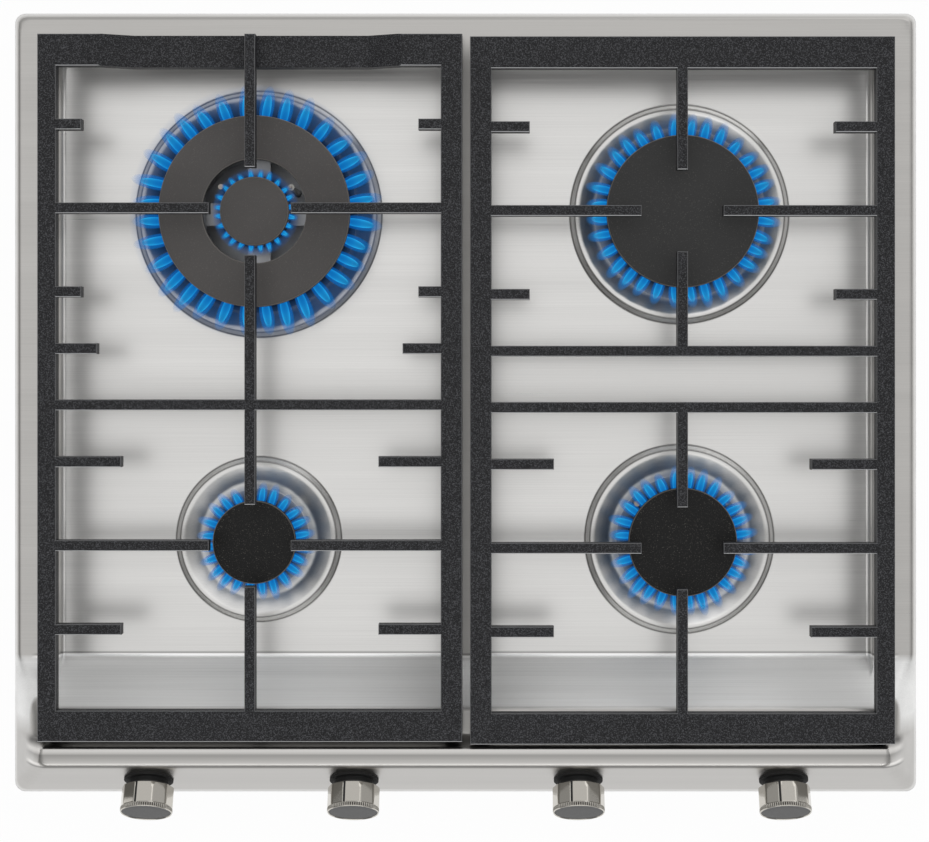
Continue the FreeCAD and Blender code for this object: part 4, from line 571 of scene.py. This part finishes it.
def cap_enamel(name, dark, pale, sparkle):
    """Matt enamel with a sparkle as fine as its grit, of 0.4 mm."""
    enamel, shader = begin_material(name, dark, Roughness=0.5, IOR=1.52, Specular_IOR_Level=0.28)
    place = add_node(enamel, "ShaderNodeTexCoord")
    grit = add_node(enamel, "ShaderNodeTexNoise", [("Scale", 1600.0), ("Detail", 2.0)],
                    [("Vector", place, "Object")])
    cloud = add_node(enamel, "ShaderNodeTexNoise", [("Scale", 22.0), ("Detail", 3.0)],
                     [("Vector", place, "Object")])
    tint = add_node(enamel, "ShaderNodeValToRGB", [], [("Fac", cloud, "Fac")])
    tint.color_ramp.elements[0].color = linear(dark)
    tint.color_ramp.elements[1].color = linear(pale)
    glint = add_node(enamel, "ShaderNodeMapRange",
                     [("From Min", 0.62), ("From Max", 0.74), ("To Max", sparkle)],
                     [("Value", grit, "Fac")])
    grainy = add_node(enamel, "ShaderNodeMix", [("data_type", "RGBA"), (7, linear("#a9a49c"))],
                      [(0, glint, "Result"), (6, tint, "Color")])
    # A pale line on the rolled edge: partly thin enamel, partly a painted highlight.
    edge = thin_enamel_and_edge_highlight(enamel, skin_lean(enamel), 0.6)
    mixed = add_node(enamel, "ShaderNodeMix", [("data_type", "RGBA"), (7, linear("#8f8b86"))],
                     [(0, edge, "Value"), (6, grainy, 2)])
    relief = add_node(enamel, "ShaderNodeBump", [("Strength", 0.3), ("Distance", 0.05 * MM)],
                      [("Height", grit, "Fac")])
    feed(enamel, shader, Base_Color=(mixed, 2), Normal=(relief, "Normal"))
    return enamel


# One black enamel in three lightnesses: painted lighter on the wok caps and a little lighter on the rapid
# cap, as painted light.
enamel_painted_lit = cap_enamel("black_enamel_painted_lit", "#4c4a49", "#5b5857", 0.2)
enamel_painted_half_lit = cap_enamel("black_enamel_painted_half_lit", "#2f2f2f", "#3a3a3a", 0.2)
deep_enamel = cap_enamel("deep_black_enamel", "#030303", "#080808", 0.3)
for name, body, burner, radius, bore, inner, enamel in (
        ("wok_ring_cap", "wok_ring_cap_body", "wok", 62.8, 34.0, 56.9, enamel_painted_lit),
        ("wok_core_cap", "wok_core_cap_body", "wok", 22.6, 0.0, 18.7, enamel_painted_lit),
        ("rapid_burner_cap", "rapid_cap_body", "rapid", 50.0, 0.0, 44.1, enamel_painted_half_lit),
        ("semi_burner_cap", "semi_cap_body", "semi", 35.6, 0.0, 29.7, deep_enamel),
        ("small_burner_cap", "small_cap_body", "small", 27.3, 0.0, 21.4, deep_enamel)):
    lower = [(bore, CROWN_TOP), (inner - RING_WALL, CROWN_TOP), (inner - RING_WALL, CROWN_TOP - CAP_RING),
             (inner, CROWN_TOP - CAP_RING), (inner, CROWN_TOP), (radius, CROWN_TOP)]
    if bore:
        upper = [(radius, CAP_EDGE), (bore, CAP_EDGE), (bore, CROWN_TOP)]
    else:
        upper = [(radius, CAP_EDGE), (radius * 0.5, CAP_EDGE + CAP_CROWN * 0.75), (0, CAP_EDGE + CAP_CROWN)]
    profile = rounded_profile(lower + upper, ROLL)
    cap = new_piece(name + "_enamelled", *turned_skin(profile, BURNERS[burner]["centre"]), enamel)
    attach(cap, body)
    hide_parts(name)


# Flames. Each port of a crown gives one tongue of burning gas: a bright blue inner cone and a soft
# mantle round it, over one haze round the whole burner that glows blue away from the ports and near
# them is a nearly solid dark blue sheet of painted shade hiding the crown. A flame is brightest where
# the eye looks along its skin, and fades towards its tip, so each is a thin skin that glows and lets
# what is behind it through.

TONGUE_ROWS, TONGUE_SIDES = 11, 12


def tongues(centre, count, start, reach, width, foot, rise):
    """One tongue per port, as a skin (s, a): it runs out from the start radius by reach s, its half width is
    width (0.7 + 0.3 sin(pi s^0.8)) sqrt(1 - s^6), and it rises by rise s^2. The last array is s at every
    point."""
    s = np.linspace(0, 1, TONGUE_ROWS)[None, :, None]
    a = np.linspace(0, 2 * np.pi, TONGUE_SIDES, endpoint=False)[None, None, :]
    port = (np.arange(count) * 2 * np.pi / count + np.pi / count)[:, None, None]
    longer = 1 + 0.06 * np.sin(port * 5.0 + 1.0) + 0.05 * np.sin(port * 11.0 + 2.0)
    thick = width * (0.7 + 0.3 * np.sin(np.pi * s ** 0.8)) * np.sqrt(np.maximum(1 - s ** 6, 0))
    out = start + reach * longer * s
    side = thick * np.cos(a)
    up = foot + rise * s * s + thick * np.sin(a) + 0 * port
    turn = port + 0.03 * np.sin(port * 7.0) * s
    points = np.stack([centre[0] + out * np.cos(turn) - side * np.sin(turn),
                       centre[1] + out * np.sin(turn) + side * np.cos(turn), up], axis=-1)
    first = np.arange(count) * TONGUE_ROWS * TONGUE_SIDES
    faces = quads(TONGUE_ROWS, TONGUE_SIDES, closed=True)[None] + first[:, None, None]
    return points, faces.reshape(-1, 4), (s + 0 * a + 0 * port).reshape(-1)


def flame_glow(name, near, far, strength, edge, middle, full=0.55, heart=1.0):
    """Burning gas: its colour runs from near the port to far from it, and it is as solid as edge where it is
    seen along its skin and middle where it is seen face on, full up to a share of its length and then fading
    to nothing. Face on it glows by its heart's share, and it lights what is round it by a fifth of what the
    eye sees."""
    glow = bpy.data.materials.new(name)
    glow.use_nodes = True
    glow.node_tree.nodes.clear()
    along = add_node(glow, "ShaderNodeAttribute", [("attribute_name", "along")])
    tint = add_node(glow, "ShaderNodeMix", [("data_type", "RGBA"), (6, linear(near)), (7, linear(far))],
                    [(0, along, "Fac")])
    angle = add_node(glow, "ShaderNodeLayerWeight", [("Blend", 0.35)])
    rim = add_node(glow, "ShaderNodeMapRange",
                   [("From Max", 0.5), ("To Min", strength * heart), ("To Max", strength)],
                   [("Value", angle, "Facing")])
    seen = add_node(glow, "ShaderNodeLightPath")
    lit = add_node(glow, "ShaderNodeMapRange", [("To Min", 0.2)], [("Value", seen, "Is Camera Ray")])
    power = add_node(glow, "ShaderNodeMath", [("operation", "MULTIPLY")],
                     [(0, rim, "Result"), (1, lit, "Result")])
    light = add_node(glow, "ShaderNodeEmission", [], [("Color", tint, 2), ("Strength", power, "Value")])
    clear = add_node(glow, "ShaderNodeBsdfTransparent")
    solid = add_node(glow, "ShaderNodeMapRange", [("To Min", middle), ("To Max", edge)],
                     [("Value", angle, "Facing")])
    fade = add_node(glow, "ShaderNodeMapRange", [("From Min", 1.0), ("From Max", full)],
                    [("Value", along, "Fac")])
    share = add_node(glow, "ShaderNodeMath", [("operation", "MULTIPLY")],
                     [(0, solid, "Result"), (1, fade, "Result")])
    mixed = add_node(glow, "ShaderNodeMixShader", [], [(0, share, "Value"), (1, clear, 0), (2, light, 0)])
    add_node(glow, "ShaderNodeOutputMaterial", [], [("Surface", mixed, 0)])
    return glow


def new_flame(name, points, faces, along, glow):
    """A flame's mesh, with how far along the flame each point lies as its own attribute."""
    mesh = bpy.data.meshes.new(name)
    mesh.from_pydata((points.reshape(-1, 3) * MM).tolist(), [], faces.tolist())
    mesh.attributes.new("along", "FLOAT", "POINT").data.foreach_set("value", along)
    mesh.shade_smooth()
    mesh.materials.append(glow)
    flame = bpy.data.objects.new(name, mesh)
    bpy.context.scene.collection.objects.link(flame)
    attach(flame, "hob_body")
    return flame


inner_cone = flame_glow("gas_flame_inner_cone", "#14a4ec", "#3cd0ff", 1.35, 1.0, 0.8, 0.55, 0.4)
mantle = flame_glow("gas_flame_mantle", "#0a5cb4", "#1a90e4", 0.9, 0.0, 0.75, 0.3)
# Near the ports the haze is a nearly solid dark blue sheet: painted shade over the crown. Farther out it is a
# pale blue glow.
haze_and_painted_shade = flame_glow("gas_haze_and_painted_shade", "#04162e", "#2a74c4", 0.7, 0.95, 0.93, 0.0)
faint_haze_and_painted_shade = flame_glow("gas_faint_haze_and_painted_shade", "#04162e", "#3a78b8", 0.6, 0.9, 0.88, 0.0)
HAZE_ROWS, HAZE_STEPS = 9, 96
for name, burner, count, start, reach, width, foot, air, spread in (
        ("wok_ring", "wok", 32, 60.0, 18.0, 2.7, 14.5, haze_and_painted_shade, 1.25),
        ("wok_core", "wok", 24, 20.6, 6.0, 1.15, 16.0, haze_and_painted_shade, 1.1),
        ("rapid", "rapid", 32, 47.0, 14.0, 2.3, 14.5, faint_haze_and_painted_shade, 0.95),
        ("semi", "semi", 28, 32.6, 13.5, 2.1, 14.5, faint_haze_and_painted_shade, 0.95),
        ("small", "small", 24, 24.4, 12.0, 1.9, 14.5, faint_haze_and_painted_shade, 0.95)):
    centre = BURNERS[burner]["centre"]
    for layer, glow, longer, wider in (("cones", inner_cone, 1.0, 1.0), ("mantles", mantle, 1.3, 1.8)):
        points, faces, along = tongues(centre, count, start, reach * longer, width * wider, foot, 3.0)
        new_flame(f"{name}_flame_{layer}", points, faces, along, glow)
    s = np.linspace(0, 1, HAZE_ROWS)
    profile = np.stack([start + 1.9 + reach * spread * s, foot - 2.5 + 3 * np.sin(np.pi * s)], axis=1)
    points, faces = turned_skin(profile, centre, steps=HAZE_STEPS)
    new_flame(f"{name}_flame_haze", points, faces, np.repeat(s, HAZE_STEPS), air)


# Knobs. A deep-drawn shell, nickel plated and polished, with ten flats, a knurled band at its front
# and a dark disc set into its face, is pressed over a black core. The pointer is a groove filled
# with black paint. A black rubber seal with a short sleeve lies behind each knob.

KNOB_X = {1: -206.8, 2: -72.5, 3: 74.1, 4: 208.4}
KNOB_LEAN = math.radians(61.8)
KNOB_SEAT_HEIGHT = 24.0
KNOB_SEAT_BACK = -HALF_DEPTH + KNOB_SEAT_HEIGHT / EDGE_SLOPE
KNOB_RADIUS, KNOB_FLAT, FLATS = 16.9, 16.25, 10
KNOB_BACK, KNOB_FRONT, KNURL, FACE_RADIUS, FACE_DROP = 6.0, 22.5, 3.0, 16.0, 0.4
RIBS, RIB_DEPTH, SHELL_STEPS, FACE_STEPS = 72, 0.6, 672, 96
POINTER, POINTER_WIDTH, POINTER_DEPTH = math.radians(108), 1.4, 0.6


def on_knob(number, radius, turn, out):
    """Points at a radius and turn about a knob's axis, and a distance out along it from the fascia."""
    side, up = radius * np.cos(turn), radius * np.sin(turn)
    lean, rise = math.sin(KNOB_LEAN), math.cos(KNOB_LEAN)
    return np.stack([KNOB_X[number] + side, KNOB_SEAT_BACK + up * rise - out * lean,
                     KNOB_SEAT_HEIGHT + up * lean + out * rise], axis=-1)


def knob_skin(number):
    """The shell as (station, turn), its faces and its painted shade, dark in the knurl's grooves. Its radius
    is the lesser of the round one and flat / cos(angle from the middle of its flat), less
    depth (1 - cos(ribs a)) / 2 on the knurl, less the pointer's groove."""
    front = KNOB_FRONT - KNURL
    full = KNOB_RADIUS
    stations = np.array([
        (full - 1, 20.6, 0, 0), (full - 1, KNOB_BACK + 0.2, 0, 0), (full - 0.8, KNOB_BACK, 1, 0),
        (full - 0.2, KNOB_BACK + 0.05, 1, 0), (full, KNOB_BACK + 0.3, 1, 0), (full, 10, 1, 0),
        (full, 15, 1, 0), (full, front - 0.5, 1, 0), (full, front - 0.1, 1, 0),
        (full - 0.1, front + 0.1, 0, 0), (full, front + 0.25, 0, 0.3),
        (full, front + 0.4, 0, 1), (full, front + 2.2, 0, 1),
        (full - 0.1, front + 2.4, 0, 0.3), (full - 0.15, front + 2.5, 0, 0),
        (full - 0.3, KNOB_FRONT - 0.12, 0, 0), (full - 0.5, KNOB_FRONT, 0, 0),
        (FACE_RADIUS + 0.15, KNOB_FRONT, 0, 0),
        (FACE_RADIUS, KNOB_FRONT - 0.1, 0, 0), (FACE_RADIUS - 0.1, KNOB_FRONT - FACE_DROP - 0.2, 0, 0),
        (0, KNOB_FRONT - FACE_DROP - 0.2, 0, 0)])
    radius, out, flat, knurl = (stations[:, [column]] for column in range(4))
    turn = np.linspace(0, 2 * np.pi, SHELL_STEPS, endpoint=False)[None, :]
    half = np.pi / FLATS
    off = np.mod(turn - np.pi / 2 + half, 2 * half) - half
    faceted = soft_min(radius + 0 * turn, KNOB_FLAT / np.cos(off) + 0 * radius, 0.25)
    radius = radius * (1 - flat) + faceted * flat
    ribbed = knurl * (1 - np.cos(RIBS * turn)) / 2
    radius = radius - RIB_DEPTH * ribbed
    groove = ease((POINTER_WIDTH / 2 + 0.1 - np.abs(turn - POINTER) * KNOB_FLAT) / 0.15)
    radius = radius - groove * POINTER_DEPTH * flat
    faces = quads(len(stations), SHELL_STEPS, closed=True)
    return on_knob(number, radius, turn, out + 0 * turn), faces, -ribbed.reshape(-1)


nickel, shader = begin_material("polished_nickel_plating", "#c9c5bd", Metallic=1.0, Roughness=0.16)
place = add_node(nickel, "ShaderNodeTexCoord")
buffed = add_node(nickel, "ShaderNodeTexNoise", [("Scale", 500.0), ("Detail", 3.0)],
                  [("Vector", place, "Object")])
gloss = add_node(nickel, "ShaderNodeMapRange", [("To Min", 0.06), ("To Max", 0.16)],
                 [("Value", buffed, "Fac")])
# The knurl's grooves are painted dark: painted shade in the recesses between the ribs.
painted_light = add_node(nickel, "ShaderNodeAttribute", [("attribute_name", "painted_light")])
tint = add_node(nickel, "ShaderNodeMapRange", [("From Min", -1.0), ("From Max", 0.0)],
                [("Value", painted_light, "Fac")])
painted_groove_shade = add_node(nickel, "ShaderNodeMix",
                   [("data_type", "RGBA"), (6, linear("#2e2c2a")), (7, linear("#c9c5bd"))],
                   [(0, tint, "Result")])
feed(nickel, shader, Base_Color=(painted_groove_shade, 2), Roughness=(gloss, "Result"))
disc, shader = begin_material("dark_anodised_disc", "#454545", Metallic=0.5, Roughness=0.45)
place = add_node(disc, "ShaderNodeTexCoord")
turning = add_node(disc, "ShaderNodeTexNoise", [("Scale", 900.0), ("Detail", 2.0)],
                   [("Vector", place, "Object")])
gloss = add_node(disc, "ShaderNodeMapRange", [("To Min", 0.38), ("To Max", 0.52)],
                 [("Value", turning, "Fac")])
feed(disc, shader, Roughness=(gloss, "Result"))
ink, shader = begin_material("black_pointer_paint", "#0c0c0c", Roughness=0.4)
place = add_node(ink, "ShaderNodeTexCoord")
brushmark = add_node(ink, "ShaderNodeTexNoise", [("Scale", 1200.0)], [("Vector", place, "Object")])
gloss = add_node(ink, "ShaderNodeMapRange", [("To Min", 0.3), ("To Max", 0.5)], [("Value", brushmark, "Fac")])
feed(ink, shader, Roughness=(gloss, "Result"))
for number in KNOB_X:
    points, faces, painted_light = knob_skin(number)
    shell = new_piece(f"knob_shell_{number}", points, faces, nickel, painted_light=painted_light)
    inward = np.array([FACE_RADIUS, FACE_RADIUS / 2, 0.5, 0.15, 0.12])[:, None]
    out = np.array([0, 0, 0, -0.05, -0.3])[:, None] + KNOB_FRONT - FACE_DROP
    turn = np.linspace(0, 2 * np.pi, FACE_STEPS, endpoint=False)[None, :]
    points = on_knob(number, FACE_RADIUS - inward + 0 * turn, turn + 0 * inward, out + 0 * turn)
    face = new_piece(f"knob_face_{number}", points, quads(len(inward), FACE_STEPS, closed=True), disc,
                     flip=True)
    turn = (POINTER + np.linspace(-0.5, 0.5, 5) * POINTER_WIDTH / KNOB_FLAT)[None, :]
    out = np.linspace(KNOB_BACK + 0.2, KNOB_FRONT - KNURL, 8)[:, None]
    inside = KNOB_RADIUS - POINTER_DEPTH + 0.1 + 0 * (turn + out)
    points = on_knob(number, inside, turn + 0 * out, out + 0 * turn)
    line = new_piece(f"knob_pointer_{number}", points, quads(out.size, turn.size), ink)
    for piece in (shell, face, line):
        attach(piece, f"knob_body_{number}")
        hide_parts(f"knob_{number}")
core, shader = begin_material("moulded_black_phenolic", "#131313", Roughness=0.42, IOR=1.6)
place = add_node(core, "ShaderNodeTexCoord")
grain = add_node(core, "ShaderNodeTexNoise", [("Scale", 2000.0), ("Detail", 2.0)],
                 [("Vector", place, "Object")])
relief = add_node(core, "ShaderNodeBump", [("Strength", 0.3), ("Distance", 0.04 * MM)],
                  [("Height", grain, "Fac")])
feed(core, shader, Normal=(relief, "Normal"))
paint(core, *[f"knob_core_{number}" for number in KNOB_X])
spindle, shader = begin_material("turned_bright_steel", "#b9b8b6", Metallic=1.0, Roughness=0.28)
place = add_node(spindle, "ShaderNodeTexCoord")
tooling = add_node(spindle, "ShaderNodeTexNoise", [("Scale", 1500.0)], [("Vector", place, "Object")])
gloss = add_node(spindle, "ShaderNodeMapRange", [("To Min", 0.2), ("To Max", 0.36)],
                 [("Value", tooling, "Fac")])
feed(spindle, shader, Roughness=(gloss, "Result"))
paint(spindle, *[f"spindle_{number}" for number in KNOB_X], *[f"push_collar_{number}" for number in KNOB_X])


# Rubber. The seals behind the knobs and the feet under the grates are moulded from black silicone
# rubber, matt from a blasted mould and a little dusty.

rubber, shader = begin_material("moulded_silicone_rubber", "#1c1c1c", Roughness=0.7, IOR=1.42)
place = add_node(rubber, "ShaderNodeTexCoord")
dust = add_node(rubber, "ShaderNodeTexNoise", [("Scale", 300.0), ("Detail", 4.0)],
                [("Vector", place, "Object")])
tint = add_node(rubber, "ShaderNodeValToRGB", [], [("Fac", dust, "Fac")])
tint.color_ramp.elements[0].color = linear("#161616")
tint.color_ramp.elements[1].color = linear("#262626")
feed(rubber, shader, Base_Color=(tint, "Color"))
paint(rubber, "knob_seals", "grate_left_feet", "grate_right_feet")


# Grates. Sand-cast grey iron, shot-blasted and coated in matt black vitreous enamel. The enamel
# follows the sandy skin of the casting, so it sparkles in grains of about half a millimetre; along
# the rounded top edges a pale painted highlight is laid on, most of all on those that face the front.

SAND = 0.7
iron, shader = begin_material("enamelled_cast_iron", "#161617", Roughness=0.5, IOR=1.52,
                              Specular_IOR_Level=0.26)
place = add_node(iron, "ShaderNodeTexCoord")
sand = add_node(iron, "ShaderNodeTexNoise", [("Scale", 1000 / SAND), ("Detail", 2.0), ("Roughness", 0.6)],
                [("Vector", place, "Object")])
cloud = add_node(iron, "ShaderNodeTexNoise", [("Scale", 14.0), ("Detail", 3.0)],
                 [("Vector", place, "Object")])
tint = add_node(iron, "ShaderNodeValToRGB", [], [("Fac", cloud, "Fac")])
tint.color_ramp.elements[0].color = linear("#0f0f11")
tint.color_ramp.elements[1].color = linear("#1b1b1e")
glint = add_node(iron, "ShaderNodeMapRange", [("From Min", 0.48), ("From Max", 0.72), ("To Max", 0.5)],
                 [("Value", sand, "Fac")])
grainy = add_node(iron, "ShaderNodeMix", [("data_type", "RGBA"), (7, linear("#7c7d82"))],
                  [(0, glint, "Result"), (6, tint, "Color")])
lean = skin_lean(iron)
edge = thin_enamel_and_edge_highlight(iron, lean, 1.0)
# Edges that face the front get more of the painted highlight.
front_highlight = add_node(iron, "ShaderNodeMapRange", [("From Max", -0.5), ("To Min", 0.2), ("To Max", 1.0)],
                   [("Value", lean, "Y")])
edge = add_node(iron, "ShaderNodeMath", [("operation", "MULTIPLY")],
                [(0, edge, "Value"), (1, front_highlight, "Result")])
mixed = add_node(iron, "ShaderNodeMix", [("data_type", "RGBA"), (7, linear("#dcdddf"))],
                 [(0, edge, "Value"), (6, grainy, 2)])
relief = add_node(iron, "ShaderNodeBump", [("Strength", 0.7), ("Distance", 0.2 * MM)],
                  [("Height", sand, "Fac")])
feed(iron, shader, Base_Color=(mixed, 2), Normal=(relief, "Normal"))
paint(iron, "grate_left", "grate_right")


# Studio. The cooktop lies on a white table and is seen from straight above, under a large soft light,
# one behind it on the right and a strip in front, in a white room that darkens towards its floor.

TABLE = 76.0 * MM
EYE = (22.9, 18.3, 1350.0)
backdrop = bpy.data.materials.new("white_table")
backdrop.use_nodes = True
backdrop.node_tree.nodes.clear()
seen = add_node(backdrop, "ShaderNodeLightPath")
seen_or_mirrored = add_node(backdrop, "ShaderNodeMath", [("operation", "MAXIMUM")],
                            [(0, seen, "Is Camera Ray"), (1, seen, "Is Glossy Ray")])
bright = add_node(backdrop, "ShaderNodeMath", [("operation", "MAXIMUM")],
                  [(0, seen_or_mirrored, "Value"), (1, seen, "Is Transmission Ray")])
share = add_node(backdrop, "ShaderNodeMath", [("operation", "MULTIPLY"), (1, 0.97)], [(0, bright, "Value")])
cloth = add_node(backdrop, "ShaderNodeBsdfDiffuse", [("Color", linear("#f4f4f4"))])
white = add_node(backdrop, "ShaderNodeEmission", [("Strength", 1.0)])
mixed = add_node(backdrop, "ShaderNodeMixShader", [], [(0, share, "Value"), (1, cloth, 0), (2, white, 0)])
add_node(backdrop, "ShaderNodeOutputMaterial", [], [("Surface", mixed, 0)])
span = np.linspace(-20000, 20000, 2)
x, y = np.meshgrid(span, span)
table = new_piece("white_table", np.stack([x, y, 0 * x - TABLE / MM], axis=-1), quads(2, 2), backdrop)

world = bpy.data.worlds.new("white_room")
bpy.context.scene.world = world
world.use_nodes = True
world.node_tree.nodes.clear()
place = add_node(world, "ShaderNodeTexCoord")
upward = add_node(world, "ShaderNodeVectorMath", [("operation", "DOT_PRODUCT"), (1, (0.1, 0.45, 0.8))],
                  [(0, place, "Generated")])
room = add_node(world, "ShaderNodeValToRGB", [], [("Fac", upward, "Value")])
room.color_ramp.elements[0].color = (0.3, 0.3, 0.295, 1)
room.color_ramp.elements[1].color = (0.96, 0.96, 0.96, 1)
room.color_ramp.elements[1].position = 0.8
seen = add_node(world, "ShaderNodeLightPath")
air = add_node(world, "ShaderNodeMix", [("data_type", "RGBA"), (7, (1, 1, 1, 1))],
               [(0, seen, "Is Camera Ray"), (6, room, "Color")])
sky = add_node(world, "ShaderNodeBackground", [("Strength", 0.78)], [("Color", air, 2)])
add_node(world, "ShaderNodeOutputWorld", [], [("Surface", sky, 0)])

for name, long, deep, energy, place, lean in (
        ("overhead_softbox", 2.6, 2.4, 5.5, (-0.3, 0.2, 2.4), (0, -0.1, 0)),
        ("rear_softbox", 2.0, 2.2, 7.0, (1.3, 2.2, 1.0), (-1.25, 0, -0.45)),
        ("front_strip", 2.6, 0.5, 4.5, (0, -1.5, 1.6), (0.75, 0, 0))):
    softbox = bpy.data.lights.new(name, "AREA")
    softbox.shape = "RECTANGLE"
    softbox.size = long
    softbox.size_y = deep
    softbox.energy = energy
    lamp = bpy.data.objects.new(name, softbox)
    lamp.location = place
    lamp.rotation_euler = lean
    bpy.context.scene.collection.objects.link(lamp)

lens = bpy.data.cameras.new("camera")
lens.lens = 78.54
lens.sensor_width = 36
lens.shift_x = -0.0382
lens.shift_y = -0.0495
camera = bpy.data.objects.new("camera", lens)
camera.location = [value * MM for value in EYE]
bpy.context.scene.collection.objects.link(camera)
bpy.context.scene.camera = camera
bpy.context.scene.view_settings.view_transform = "Standard"
